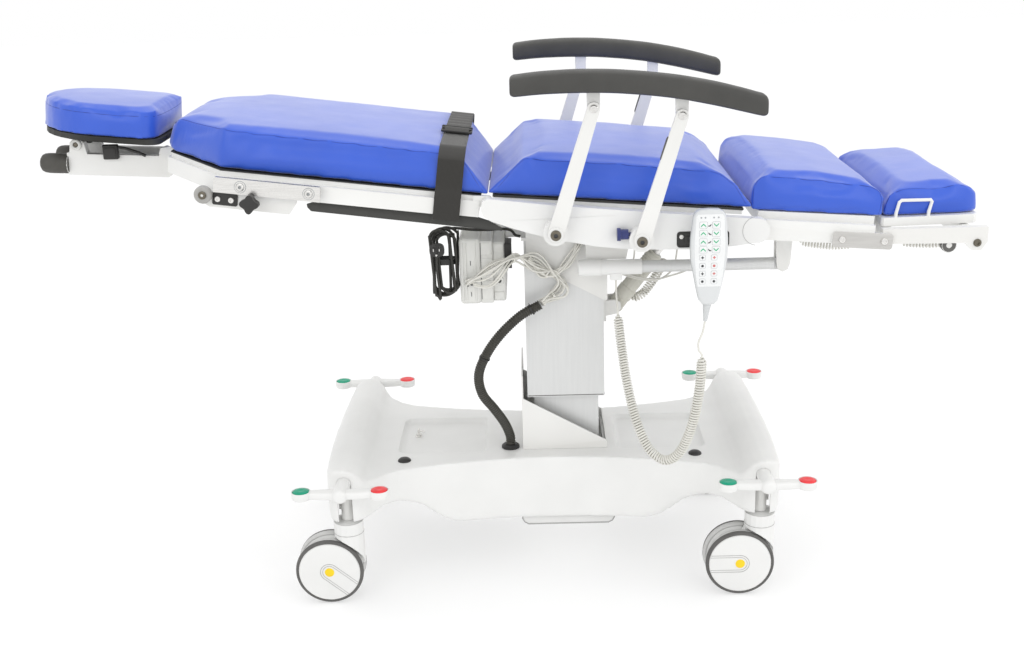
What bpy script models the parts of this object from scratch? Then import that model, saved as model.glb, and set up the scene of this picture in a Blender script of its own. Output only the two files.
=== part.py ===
"""Procedure chair: wheeled base, telescopic column and a powered couch top in five padded sections.

Units are metres, +Z is up, the head end is at -X, the foot end at +X and the near side at -Y.
Pieces are drawn in the assembly's own coordinates and hang on empties that sit on the joint axes.
"""
import math

import bmesh
import bpy
from mathutils import Matrix, Vector

# ---------------------------------------------------------------- driving dimensions
X_SHIFT = 0.0288            # puts the middle of the overall length on the origin
BASE_X = 0.070              # middle of the base
CASTER_DX = 0.451           # caster and pedal distance from the middle of the base
CASTER_Y = 0.258            # caster distance from the centre plane
CASTER_TRAIL = 0.045
WHEEL_R = 0.075
WHEEL_IN, WHEEL_OUT = 0.010, 0.034
HOUSING_R = 0.033
HOUSING_TOP = 0.1865
PEDAL_Y, PEDAL_Z, PEDAL_DX = 0.342, 0.286, 0.083
DECK_Z = 0.277
COL_X0, COL_X1, COL_Y = 0.019, 0.193, 0.090
COL_BOTTOM, COL_TOP = 0.400, 0.765
TILT_PIVOT = (0.106, 0.822)
SEAT_ANGLE = math.radians(4.7)
BACK_PIVOT = (-0.0495, 0.893)
BACK_ANGLE = math.radians(7.4)
HEAD_FRAME_PIVOT = (-0.751, 0.976)
HEAD_FRAME_ANGLE = math.radians(3.0)
HEAD_REST_PIVOT = (-0.942, 0.997)
HEAD_REST_ANGLE = math.radians(6.0)
LEG_PIVOT = (0.494, 0.821)
LEG_ANGLE = math.radians(4.3)
FOOT_PIVOT = (0.757, 0.791)
ARM_A = (0.086, 0.832)
ARM_B = (0.258, 0.814)
ARM_RISE = (0.078, 0.249)
POST_OUT, POST_IN = 0.324, 0.314
PANEL_OUT, PANEL_IN = 0.286, 0.264
PAD_OUT, PAD_IN = 0.353, 0.296
LOCK_AT = (0.2215, 0.2995, 0.824)
CUSHION_HALF = 0.258
HANDSET_X, HANDSET_Y0, HANDSET_Y1 = 0.390, -0.347, -0.319
GAP = 0.0003                # clearance between touching pieces
ROUND = 16                  # sides of a plain round piece

# ---------------------------------------------------------------- scene and collections
for old in list(bpy.data.objects):
    bpy.data.objects.remove(old, do_unlink=True)
PARTS = bpy.data.collections.new("procedure_chair")
CUTTERS = bpy.data.collections.new("cutters")
bpy.context.scene.collection.children.link(PARTS)
bpy.context.scene.collection.children.link(CUTTERS)

COLOURS = {
    "white": ((0.86, 0.86, 0.85), 0.35, 0.0),
    "grey": ((0.62, 0.63, 0.64), 0.40, 0.4),
    "steel": ((0.60, 0.60, 0.58), 0.30, 1.0),
    "black": ((0.025, 0.024, 0.022), 0.50, 0.0),
    "charcoal": ((0.055, 0.054, 0.050), 0.60, 0.0),
    "blue": ((0.035, 0.085, 0.62), 0.38, 0.0),
    "navy": ((0.02, 0.03, 0.15), 0.40, 0.0),
    "cream": ((0.72, 0.71, 0.67), 0.45, 0.0),
}
MATERIALS = {}
for key, (rgb, rough, metal) in COLOURS.items():
    mat = bpy.data.materials.new(key)
    mat.use_nodes = True
    shader = mat.node_tree.nodes["Principled BSDF"]
    shader.inputs["Base Color"].default_value = (*rgb, 1.0)
    shader.inputs["Roughness"].default_value = rough
    shader.inputs["Metallic"].default_value = metal
    mat.diffuse_color = (*rgb, 1.0)
    MATERIALS[key] = mat


# ---------------------------------------------------------------- joint frames
ROOT = bpy.data.objects.new("chair_frame", None)
ROOT.location = (X_SHIFT, 0, 0)
PARTS.objects.link(ROOT)
FRAMES = {"root": (ROOT, Matrix.Identity(4))}


def frame(name, parent, point, angle=0.0):
    """An empty on a joint's axis, turned about Y to the section it carries."""
    matrix = Matrix.Translation(Vector(point)) @ Matrix.Rotation(angle, 4, "Y")
    empty = bpy.data.objects.new(name + "_axis", None)
    empty.empty_display_size = 0.03
    PARTS.objects.link(empty)
    above, above_matrix = FRAMES[parent]
    empty.parent = above
    empty.matrix_basis = above_matrix.inverted() @ matrix
    FRAMES[name] = (empty, matrix)


frame("base", "root", (0, 0, 0))
frame("pedal_head", "base", (BASE_X - CASTER_DX, 0, PEDAL_Z))
frame("pedal_foot", "base", (BASE_X + CASTER_DX, 0, PEDAL_Z))
CASTERS = {
    "head_near": (BASE_X - CASTER_DX, -CASTER_Y),
    "head_far": (BASE_X - CASTER_DX, CASTER_Y),
    "foot_near": (BASE_X + CASTER_DX, -CASTER_Y),
    "foot_far": (BASE_X + CASTER_DX, CASTER_Y),
}
for key, (cx, cy) in CASTERS.items():
    frame("caster_" + key, "base", (cx, cy, HOUSING_TOP))
    frame("wheels_" + key, "caster_" + key, (cx - CASTER_TRAIL, cy, WHEEL_R))
frame("lift", "base", (0.106, 0, COL_BOTTOM))
TILT_LOW = (0.226, 0.590)
TILT_HIGH = (0.372, 0.780)
TILT_DIR = Vector((TILT_HIGH[0] - TILT_LOW[0], 0, TILT_HIGH[1] - TILT_LOW[1])).normalized()
frame("tilt_barrel", "lift", (TILT_LOW[0], 0, TILT_LOW[1]))
frame("tilt_rod", "tilt_barrel", (TILT_HIGH[0], 0, TILT_HIGH[1]))
frame("seat", "lift", (TILT_PIVOT[0], 0, TILT_PIVOT[1]), SEAT_ANGLE)
frame("back", "seat", (BACK_PIVOT[0], 0, BACK_PIVOT[1]), BACK_ANGLE)
frame("head_frame", "back", (HEAD_FRAME_PIVOT[0], 0, HEAD_FRAME_PIVOT[1]), HEAD_FRAME_ANGLE)
frame("head_rest", "head_frame", (HEAD_REST_PIVOT[0], 0, HEAD_REST_PIVOT[1]), HEAD_REST_ANGLE)
frame("leg", "seat", (LEG_PIVOT[0], 0, LEG_PIVOT[1]), LEG_ANGLE)
frame("foot", "leg", (FOOT_PIVOT[0], 0, FOOT_PIVOT[1]))
LEG_ACT_Y, LEG_ACT_Z = -0.150, 0.716
frame("leg_rod", "seat", (0.5707, LEG_ACT_Y, LEG_ACT_Z))
for side, s in (("near", -1), ("far", 1)):
    frame("post_a_" + side, "seat", (ARM_A[0], s * POST_IN, ARM_A[1]))
    frame("post_b_" + side, "seat", (ARM_B[0], s * POST_IN, ARM_B[1]))
    frame("pad_" + side, "post_a_" + side, (ARM_A[0] + ARM_RISE[0], s * POST_IN, ARM_A[1] + ARM_RISE[1]))
    frame("lock_" + side, "seat", (LOCK_AT[0], s * LOCK_AT[1], LOCK_AT[2]))
frame("handset", "seat", (HANDSET_X, HANDSET_Y1, 0.815))
KNOB_AT = (-0.4725, -0.0462)     # in the back section's own axes
ROLLER_AT = (-0.571, -0.042)


def back_point(x, z):
    return FRAMES["back"][1] @ Vector((x, 0, z))


kp = back_point(*KNOB_AT)
frame("knob", "back", (kp.x, -0.2725, kp.z), BACK_ANGLE)
rp = back_point(*ROLLER_AT)
for side, s in (("near", -1), ("far", 1)):
    frame("roller_" + side, "back", (rp.x, s * 0.28, rp.z), BACK_ANGLE)


# ---------------------------------------------------------------- shape helpers
def link(name, mesh):
    obj = bpy.data.objects.new(name, mesh)
    PARTS.objects.link(obj)
    return obj


def from_bmesh(name, bm):
    bmesh.ops.remove_doubles(bm, verts=bm.verts, dist=1e-6)
    bmesh.ops.recalc_face_normals(bm, faces=bm.faces)
    mesh = bpy.data.meshes.new(name)
    bm.to_mesh(mesh)
    bm.free()
    return link(name, mesh)


def box(name, x0, x1, y0, y1, z0, z1):
    bm = bmesh.new()
    bmesh.ops.create_cube(bm, size=1.0)
    bmesh.ops.scale(bm, vec=(x1 - x0, y1 - y0, z1 - z0), verts=bm.verts)
    bmesh.ops.translate(bm, vec=((x0 + x1) / 2, (y0 + y1) / 2, (z0 + z1) / 2), verts=bm.verts)
    return from_bmesh(name, bm)


def rod(name, p0, p1, r0, r1=None, sides=ROUND):
    """A cylinder or cone from one point to another."""
    a, b = Vector(p0), Vector(p1)
    bm = bmesh.new()
    bmesh.ops.create_cone(bm, cap_ends=True, segments=sides, radius1=r0, radius2=r0 if r1 is None else r1,
                          depth=(b - a).length)
    turn = (b - a).to_track_quat("Z", "Y").to_matrix().to_4x4()
    bmesh.ops.transform(bm, matrix=Matrix.Translation((a + b) / 2) @ turn, verts=bm.verts)
    return from_bmesh(name, bm)


def curve_mesh(name, curve, matrix):
    """The curve's surface as a welded mesh in place of the curve."""
    obj = bpy.data.objects.new(name + "_curve", curve)
    CUTTERS.objects.link(obj)
    obj.matrix_world = matrix
    graph = bpy.context.evaluated_depsgraph_get()
    graph.update()
    mesh = bpy.data.meshes.new_from_object(obj.evaluated_get(graph))
    bm = bmesh.new()
    bm.from_mesh(mesh)
    bpy.data.meshes.remove(mesh)
    bpy.data.objects.remove(obj, do_unlink=True)
    bmesh.ops.transform(bm, matrix=matrix, verts=bm.verts)
    bmesh.ops.remove_doubles(bm, verts=bm.verts, dist=1e-6)
    return from_bmesh(name, bm)


PLANES = {
    "xy": Matrix.Identity(4),
    "xz": Matrix.Rotation(math.radians(90), 4, "X"),
    "yz": Matrix(((0, 0, 1, 0), (1, 0, 0, 0), (0, 1, 0, 0), (0, 0, 0, 1))),
}


def plate(name, plane, outlines, low, high):
    """A flat outline, with any holes after it, drawn in a plane and thickened from low to high."""
    curve = bpy.data.curves.new(name, "CURVE")
    curve.dimensions = "2D"
    curve.fill_mode = "BOTH"
    curve.extrude = (high - low) / 2
    for outline in outlines:
        spline = curve.splines.new("POLY")
        spline.points.add(len(outline) - 1)
        for point, (u, v) in zip(spline.points, outline):
            point.co = (u, v, 0, 1)
        spline.use_cyclic_u = True
    middle = (low + high) / 2
    shift = {"xy": (0, 0, middle), "xz": (0, middle, 0), "yz": (middle, 0, 0)}[plane]
    return curve_mesh(name, curve, Matrix.Translation(shift) @ PLANES[plane])


def tube(name, points, radius, resolution=2):
    """A round tube with closed ends along a smooth line of points."""
    curve = bpy.data.curves.new(name, "CURVE")
    curve.dimensions = "3D"
    curve.bevel_depth = radius
    curve.bevel_resolution = resolution
    curve.use_fill_caps = True
    spline = curve.splines.new("POLY")
    spline.points.add(len(points) - 1)
    for point, co in zip(spline.points, points):
        point.co = (*co, 1)
    return curve_mesh(name, curve, Matrix.Identity(4))


def turned(name, profile, centre, axis="Z", steps=32):
    """A turned piece: the profile runs down its outer side as (radius, height) pairs."""
    mesh = bpy.data.meshes.new(name)
    mesh.from_pydata([(r, 0, h) for r, h in profile], [(i, i + 1) for i in range(len(profile) - 1)], [])
    obj = bpy.data.objects.new(name, mesh)
    CUTTERS.objects.link(obj)
    screw = obj.modifiers.new("turn", "SCREW")
    screw.steps = screw.render_steps = steps
    screw.use_merge_vertices = True
    screw.merge_threshold = 1e-5
    graph = bpy.context.evaluated_depsgraph_get()
    graph.update()
    made = bpy.data.meshes.new_from_object(obj.evaluated_get(graph))
    bpy.data.objects.remove(obj, do_unlink=True)
    bm = bmesh.new()
    bm.from_mesh(made)
    bpy.data.meshes.remove(made)
    lie = {"Z": Matrix.Identity(4), "Y": Matrix.Rotation(math.radians(-90), 4, "X"),
           "X": Matrix.Rotation(math.radians(90), 4, "Y")}[axis]
    bmesh.ops.transform(bm, matrix=Matrix.Translation(centre) @ lie, verts=bm.verts)
    bmesh.ops.remove_doubles(bm, verts=bm.verts, dist=1e-6)
    return from_bmesh(name, bm)


def combine(obj, others, operation):
    """Joins or cuts the object with others, which are used up."""
    for other in others:
        PARTS.objects.unlink(other)
        CUTTERS.objects.link(other)
        other.hide_render = True
        other.display_type = "WIRE"
        modifier = obj.modifiers.new("shape", "BOOLEAN")
        modifier.operation = operation
        modifier.solver = "EXACT"
        modifier.object = other
        graph = bpy.context.evaluated_depsgraph_get()
        graph.update()
        mesh = bpy.data.meshes.new_from_object(obj.evaluated_get(graph))
        obj.modifiers.clear()
        spent = obj.data
        obj.data = mesh
        bpy.data.meshes.remove(spent)
        bpy.data.objects.remove(other, do_unlink=True)
    return obj


def join(obj, *others):
    return combine(obj, others, "UNION")


def cut(obj, *others):
    return combine(obj, others, "DIFFERENCE")


def keep(obj, *others):
    return combine(obj, others, "INTERSECT")


def finish(obj, name, where, colour, local=False):
    """Names the piece, hangs it on its joint frame and gives it its material."""
    empty, matrix = FRAMES[where]
    if not local:
        obj.data.transform(matrix.inverted())
    obj.name = name
    obj.data.name = name
    obj.parent = empty
    obj.data.materials.clear()
    obj.data.materials.append(MATERIALS[colour])
    obj.data.shade_smooth()
    obj.data.set_sharp_from_angle(angle=math.radians(35))
    return obj


def mirrored(half):
    """Outline of a shape that is the same left and right of x = 0, from its right half, top to bottom."""
    return list(half) + [(-u, v) for u, v in reversed(half) if abs(u) > 1e-9]


def arc(cx, cy, r, a0, a1, n):
    return [(cx + r * math.cos(math.radians(a0 + (a1 - a0) * i / n)),
             cy + r * math.sin(math.radians(a0 + (a1 - a0) * i / n))) for i in range(n + 1)]


def capsule(p0, r0, p1, r1, n=7):
    """Outline round two circles."""
    ang = math.degrees(math.atan2(p1[1] - p0[1], p1[0] - p0[0]))
    return arc(p0[0], p0[1], r0, ang + 90, ang + 270, n) + arc(p1[0], p1[1], r1, ang - 90, ang + 90, n)


def rounded(x0, x1, y0, y1, r, n=4):
    return (arc(x1 - r, y1 - r, r, 0, 90, n) + arc(x0 + r, y1 - r, r, 90, 180, n)
            + arc(x0 + r, y0 + r, r, 180, 270, n) + arc(x1 - r, y0 + r, r, 270, 360, n))


def smooth(points, count):
    """Points evenly read from a smooth line through the given ones."""
    pts = [Vector(p) for p in points]
    ends = [2 * pts[0] - pts[1]] + pts + [2 * pts[-1] - pts[-2]]
    dense = []
    for i in range(1, len(ends) - 2):
        p0, p1, p2, p3 = ends[i - 1:i + 3]
        for k in range(16):
            t = k / 16
            dense.append(0.5 * ((2 * p1) + (p2 - p0) * t + (2 * p0 - 5 * p1 + 4 * p2 - p3) * t * t
                                + (3 * p1 - p0 - 3 * p2 + p3) * t ** 3))
    dense.append(pts[-1])
    length = [0.0]
    for a, b in zip(dense, dense[1:]):
        length.append(length[-1] + (b - a).length)
    out, j = [], 0
    for i in range(count):
        want = length[-1] * i / (count - 1)
        while j < len(dense) - 2 and length[j + 1] < want:
            j += 1
        span = length[j + 1] - length[j]
        out.append(dense[j].lerp(dense[j + 1], 0 if span == 0 else (want - length[j]) / span))
    return out


# ---------------------------------------------------------------- base
def shifted(outline):
    return [(u + BASE_X, v) for u, v in outline]


def front_outline():
    """Front view of the cover: raised ends, legs, arches and the deep middle skirt."""
    half = [(0.0, DECK_Z), (0.385, DECK_Z), (0.401, 0.2785), (0.411, 0.2840), (0.420, 0.2990), (0.433, 0.3120),
            (0.452, 0.318), (0.474, 0.316), (0.492, 0.306), (0.508, 0.288), (0.508, 0.190), (0.416, 0.190),
            (0.405, 0.1915), (0.385, 0.1975), (0.350, 0.2005), (0.318, 0.1925), (0.290, 0.1785), (0.266, 0.1570),
            (0.244, 0.1390), (0.215, 0.1290), (0.120, 0.1270), (0.0, 0.1256)]
    return shifted(half + [(-u, v) for u, v in reversed(half[1:-1])])


def front_hollow():
    half = [(0.0, 0.258), (0.385, 0.258), (0.414, 0.2650), (0.4255, 0.2840), (0.439, 0.3040), (0.453, 0.311),
            (0.471, 0.309), (0.486, 0.301), (0.520, 0.280), (0.520, 0.060), (0.0, 0.060)]
    return shifted(half + [(-u, v) for u, v in reversed(half[1:-1])])


def plan_outline(inset):
    """Top view: narrow waist that flares out to the four legs, with bowed ends."""
    right = []
    for i in range(9):
        d = 0.340 * i / 8
        right.append((d, 0.148 + 0.47 * d * d - inset))
    k = inset
    right += [(0.368 - 0.4 * k, 0.222 - k), (0.393 - 0.2 * k, 0.250 - k), (0.411 - 0.1 * k, 0.275 - k), (0.427, 0.288 - k),
              (0.452, 0.293 - k), (0.476 - 0.5 * k, 0.289 - k), (0.489 - k, 0.272 - k), (0.495 - k, 0.200),
              (0.502 - k, 0.100), (0.504 - k, 0.0)]
    quarter = right
    lower = [(u, -v) for u, v in reversed(quarter[:-1])]
    east = quarter + lower
    west = [(-u, v) for u, v in reversed(east) if u > 1e-9]
    return shifted(east + west)


cover = plate("cover", "xz", [front_outline()], -0.32, 0.32)
keep(cover, plate("cover_plan", "xy", [plan_outline(0.0)], 0.0, 0.5))
hollow = plate("hollow", "xz", [front_hollow()], -0.31, 0.31)
keep(hollow, plate("hollow_plan", "xy", [plan_outline(0.005)], 0.02, 0.45))
cut(cover, hollow)
for s in (-1, 1):
    x = BASE_X + s * 0.250
    cut(cover, plate("tray", "xy", [rounded(x - 0.100, x + 0.100, -0.105, 0.105, 0.018)], 0.2645, 0.35))
cut(cover, box("column_hole", 0.024, 0.190, -0.080, 0.080, 0.20, 0.35))
for s in (-1, 1):
    x = BASE_X + s * CASTER_DX
    slot = [(x - 0.016, 0.15), (x + 0.016, 0.15)] + arc(x, PEDAL_Z, 0.016, 0, 180, 8)
    cut(cover, plate("slot", "xz", [slot], -0.32, -0.262))
    cut(cover, plate("slot", "xz", [slot], 0.262, 0.32))
finish(cover, "base_cover", "base", "white")

x0, x1 = BASE_X - CASTER_DX, BASE_X + CASTER_DX
chassis = box("chassis", x0 - 0.020, x0 + 0.020, -0.250, 0.250, 0.208, 0.244)
join(chassis, box("cross", x1 - 0.020, x1 + 0.020, -0.250, 0.250, 0.208, 0.244),
     box("long", x0, x1, -0.092, -0.062, 0.212, 0.240), box("long", x0, x1, 0.062, 0.092, 0.212, 0.240),
     box("plate", 0.010, 0.204, -0.100, 0.100, 0.236, 0.250))
for cx, cy in CASTERS.values():
    join(chassis, rod("socket", (cx, cy, 0.1905), (cx, cy, 0.268), 0.014))
for cx, cy in CASTERS.values():
    cut(chassis, rod("bore", (cx, cy, 0.15), (cx, cy, 0.30), 0.0096))
finish(chassis, "base_frame", "base", "steel")

pan = plate("pan", "xz", [[(0.000, 0.2115), (0.000, 0.116), (0.014, 0.102), (0.198, 0.102), (0.212, 0.116),
                           (0.212, 0.2115)]], -0.128, 0.128)
cut(pan, box("inside", 0.004, 0.208, -0.124, 0.124, 0.118, 0.30))
finish(pan, "base_underpan", "base", "white")

bracket = box("bracket", 0.006, 0.198, -0.1015, 0.1015, DECK_Z + GAP, 0.455)
cut(bracket, box("inside", 0.0092, 0.1948, -0.0983, 0.0983, 0.20, 0.50),
    plate("slope", "xz", [[(0.0094, 0.400), (0.1949, 0.296), (0.25, 0.296), (0.25, 0.60), (0.0094, 0.60)]], -0.2, 0.2))
finish(bracket, "column_bracket", "base", "white")

inner = box("inner", 0.034, 0.180, -0.072, 0.072, 0.2503, 0.660)
cut(inner, box("inside", 0.039, 0.175, -0.067, 0.067, 0.20, 0.70))
finish(inner, "column_inner", "base", "grey")
finish(rod("spindle", (0.106, 0, 0.2503), (0.106, 0, 0.640), 0.012), "lift_spindle", "base", "steel")

GLAND = (-0.023, -0.085)
finish(turned("gland", [(0, 0.2863), (0.0150, 0.2863), (0.0205, 0.2820), (0.0205, DECK_Z + GAP),
                        (0, DECK_Z + GAP)], (GLAND[0], GLAND[1], 0), steps=24), "conduit_gland", "base", "black")
CONDUIT = [(0.0520, -0.1300, 0.6300), (0.0080, -0.1320, 0.6060), (-0.0370, -0.1330, 0.5640), (-0.0700, -0.1310, 0.5170),
           (-0.0880, -0.1260, 0.4690), (-0.0820, -0.1180, 0.4210), (-0.0570, -0.1060, 0.3800), (-0.0350, -0.0930, 0.3400),
           (-0.0235, -0.0853, 0.3060), (GLAND[0], GLAND[1], 0.2872)]
finish(tube("conduit", smooth(CONDUIT, 20), 0.0110, 2), "cable_conduit", "base", "black")

# ---------------------------------------------------------------- brake and steer pedals
for end, x in (("head", x0), ("foot", x1)):
    bar = rod("shaft", (x, -0.362, PEDAL_Z), (x, 0.362, PEDAL_Z), 0.0080)
    for s in (-1, 1):
        y = s * PEDAL_Y
        outline = (arc(x + PEDAL_DX, y, 0.0210, -142, 142, 8) + arc(x - PEDAL_DX, y, 0.0210, 38, 322, 8))
        join(bar, plate("pedal", "xy", [outline], PEDAL_Z - 0.009, PEDAL_Z + 0.009),
             rod("hub", (x, s * 0.2975, PEDAL_Z), (x, s * 0.3635, PEDAL_Z), 0.0170))
    finish(bar, "pedal_bar_" + end, "pedal_" + end, "white")

# ---------------------------------------------------------------- casters
for key, (cx, cy) in CASTERS.items():
    wx = cx - CASTER_TRAIL
    body = rod("housing", (cx, cy, 0.086), (cx, cy, HOUSING_TOP), HOUSING_R)
    web = plate("web", "xz", [capsule((wx, WHEEL_R), 0.026, (cx - 0.004, 0.140), 0.028)], cy - 0.0092, cy + 0.0092)
    join(body, web)
    for s in (-1, 1):
        y0, y1 = sorted((cy + s * 0.0092, cy + s * 0.06))
        cut(body, rod("well", (wx, y0, WHEEL_R), (wx, y1, WHEEL_R), WHEEL_R + 0.0042, sides=32))
    cut(body, rod("axle_hole", (wx, cy - 0.05, WHEEL_R), (wx, cy + 0.05, WHEEL_R), 0.0135))
    join(body, rod("stem", (cx, cy, HOUSING_TOP - 0.01), (cx, cy, 0.262), 0.0090))
    finish(body, "caster_fork_" + key, "caster_" + key, "white")
    half = [(0, 0.034), (0.070, 0.034), (WHEEL_R, 0.030), (WHEEL_R, 0.014), (0.071, 0.0104), (0.013, 0.0104)]
    profile = half + [(r, -h) for r, h in reversed(half)]
    finish(turned("wheels", profile, (wx, cy, WHEEL_R), "Y", 24), "caster_wheels_" + key, "wheels_" + key, "white")

# ---------------------------------------------------------------- lifting column head, control box and leads
sleeve = box("sleeve", COL_X0, COL_X1, -COL_Y, COL_Y, COL_BOTTOM, COL_TOP)
cut(sleeve, box("inside", COL_X0 + 0.006, COL_X1 - 0.006, -COL_Y + 0.006, COL_Y - 0.006, 0.30, 0.90))
finish(sleeve, "column_outer", "lift", "grey")

head = box("top", 0.014, 0.200, -0.0955, 0.0955, COL_TOP + GAP, COL_TOP + 0.0070)
side_plate = [(0.024, 0.7190), (0.1935, 0.6270), (0.2010, 0.6270), (0.2010, 0.800), (0.150, 0.846), (0.066, 0.846),
              (0.024, 0.800)]
for s in (-1, 1):
    y0, y1 = sorted((s * (COL_Y + 0.0005), s * 0.0955))
    join(head, plate("cheek", "xz", [side_plate], y0, y1),
         rod("pin", (TILT_PIVOT[0], s * 0.092, TILT_PIVOT[1]), (TILT_PIVOT[0], s * 0.130, TILT_PIVOT[1]), 0.010))
join(head, box("arm", -0.0206, 0.030, -0.060, 0.060, COL_TOP + 0.001, COL_TOP + 0.0062))
join(head, box("hanger", -0.0206, -0.0166, -0.060, 0.060, 0.690, COL_TOP + 0.0062))
ear = box("ear", COL_X1 + 0.0005, 0.2010, -0.040, 0.040, 0.560, COL_TOP + 0.004)
join(head, ear)
for s in (-1, 1):
    y0, y1 = sorted((s * 0.0215, s * 0.0275))
    join(head, plate("clevis", "xz", [[(0.198, 0.568), (0.226, 0.574), (0.236, 0.586), (0.234, 0.600), (0.222, 0.606),
                                       (0.198, 0.604)]], y0, y1))
finish(head, "column_head", "lift", "white")

control = plate("control", "xz", [[(-0.120, 0.640), (-0.114, 0.632), (-0.021, 0.632), (-0.021, 0.782), (-0.106, 0.782),
                                   (-0.118, 0.776), (-0.122, 0.764)]], -0.130, 0.090)
finish(control, "control_box", "lift", "cream")

BUNDLE = [(-0.1000, -0.1312, 0.6870), (-0.1000, -0.1420, 0.6871), (-0.0930, -0.1490, 0.6960), (-0.0600, -0.1480, 0.7220),
          (-0.0280, -0.1440, 0.7370), (0.0000, -0.1350, 0.7400), (0.0280, -0.1180, 0.7320), (0.0600, -0.1095, 0.7120), (0.0880, -0.1090, 0.6920),
          (0.0990, -0.1090, 0.6720), (0.0900, -0.1100, 0.6540), (0.0720, -0.1180, 0.6440), (0.0545, -0.1290, 0.6325)]
bundle = tube("bundle", smooth(BUNDLE, 28), 0.0075, 1)
BRANCH = [(0.0900, -0.1090, 0.6900), (0.1060, -0.1085, 0.7060), (0.1240, -0.1100, 0.7300), (0.1380, -0.1140, 0.7520),
          (0.1420, -0.1090, 0.7620), (0.1420, -0.0964, 0.7632)]
join(bundle, tube("branch", smooth(BRANCH, 12), 0.0065, 1))
finish(bundle, "cable_bundle", "lift", "cream")

hank = plate("hank", "xz", [capsule((-0.1500, 0.6730), 0.0250, (-0.1530, 0.7740), 0.0240, 8)], -0.128, -0.082)
lead = [(-0.1330, -0.1000, 0.7740), (-0.1290, -0.0990, 0.7850), (-0.1150, -0.0970, 0.7890), (-0.0900, -0.0930, 0.7890),
        (-0.0620, -0.0870, 0.7890), (-0.0420, -0.0800, 0.7890), (-0.0220, -0.0720, 0.7880), (-0.0070, -0.0690, 0.7840),
        (0.0010, -0.0680, 0.7730), (0.0124, -0.0672, 0.7690)]
join(hank, tube("lead", smooth(lead, 18), 0.0038, 1))
finish(hank, "mains_lead", "lift", "black")
plug = rod("plug", (-0.1660, -0.1285, 0.7640), (-0.1660, -0.1530, 0.7640), 0.0150, 0.0165)
for dx, dz in ((-0.0063, 0.004), (0.0063, 0.004)):
    join(plug, box("blade", -0.1660 + dx - 0.0008, -0.1660 + dx + 0.0008, -0.1700, -0.1500, 0.7640 + dz - 0.003,
                   0.7640 + dz + 0.003))
join(plug, rod("earth", (-0.1660, -0.1500, 0.7570), (-0.1660, -0.1720, 0.7570), 0.0024, sides=10))
finish(plug, "mains_plug", "lift", "black")

# ---------------------------------------------------------------- tilt actuator
low = Vector((TILT_LOW[0], 0, TILT_LOW[1]))
high = Vector((TILT_HIGH[0], 0, TILT_HIGH[1]))
barrel = rod("barrel", low + 0.004 * TILT_DIR, low + 0.142 * TILT_DIR, 0.0190)
join(barrel, rod("eye", (TILT_LOW[0], -0.0205, TILT_LOW[1]), (TILT_LOW[0], 0.0205, TILT_LOW[1]), 0.0150))
cut(barrel, rod("bore", low + 0.040 * TILT_DIR, low + 0.20 * TILT_DIR, 0.0105))
finish(barrel, "tilt_actuator", "tilt_barrel", "white")
piston = rod("piston", low + 0.075 * TILT_DIR, high - 0.006 * TILT_DIR, 0.0098)
join(piston, rod("eye", (high.x, -0.0200, high.z), (high.x, 0.0200, high.z), 0.0130))
finish(piston, "tilt_actuator_rod", "tilt_rod", "steel")

# ---------------------------------------------------------------- seat section
PANEL = [(-0.0610, 0.8940), (-0.0520, 0.9000), (-0.0350, 0.8990), (0.0840, 0.8840), (0.2950, 0.8630), (0.4430, 0.8500),
         (0.4780, 0.8470)] + arc(LEG_PIVOT[0], LEG_PIVOT[1], 0.0255, 75, -100, 10) + [
    (0.4440, 0.7900), (0.3600, 0.7860), (0.2950, 0.7870), (0.2300, 0.7900), (0.1680, 0.7970), (0.0830, 0.8140),
    (0.0300, 0.8290), (-0.0100, 0.8420), (-0.0420, 0.8540), (-0.0580, 0.8640), (-0.0640, 0.8770)]
for side, s in (("near", -1), ("far", 1)):
    y0, y1 = sorted((s * PANEL_IN, s * PANEL_OUT))
    panel = plate("panel", "xz", [PANEL], y0, y1)
    if side == "near":
        join(panel, rod("hook", (HANDSET_X, -PANEL_OUT + 0.004, 0.815), (HANDSET_X, HANDSET_Y1 + GAP, 0.815), 0.0090))
    for px, pz in (ARM_A, ARM_B):
        join(panel, rod("boss", (px, s * (PANEL_OUT - 0.004), pz), (px, s * (POST_IN - GAP), pz), 0.0250, sides=24),
             rod("stud", (px, s * (POST_IN - 0.006), pz), (px, s * 0.3285, pz), 0.0070))
    cut(panel, rod("lock_hole", (0.225, s * LOCK_AT[1], LOCK_AT[2]), (0.2440, s * LOCK_AT[1], LOCK_AT[2]), 0.0044, sides=16))
    join(panel, rod("leg_pin", (LEG_PIVOT[0], s * (PANEL_IN + 0.004), LEG_PIVOT[1]), (LEG_PIVOT[0], s * 0.2430, LEG_PIVOT[1]), 0.0100),
         rod("back_pin", (BACK_PIVOT[0], s * (PANEL_IN + 0.004), BACK_PIVOT[1]), (BACK_PIVOT[0], s * 0.2440, BACK_PIVOT[1]), 0.0050, sides=16))
    finish(panel, "seat_panel_" + side, "seat", "white")

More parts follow.
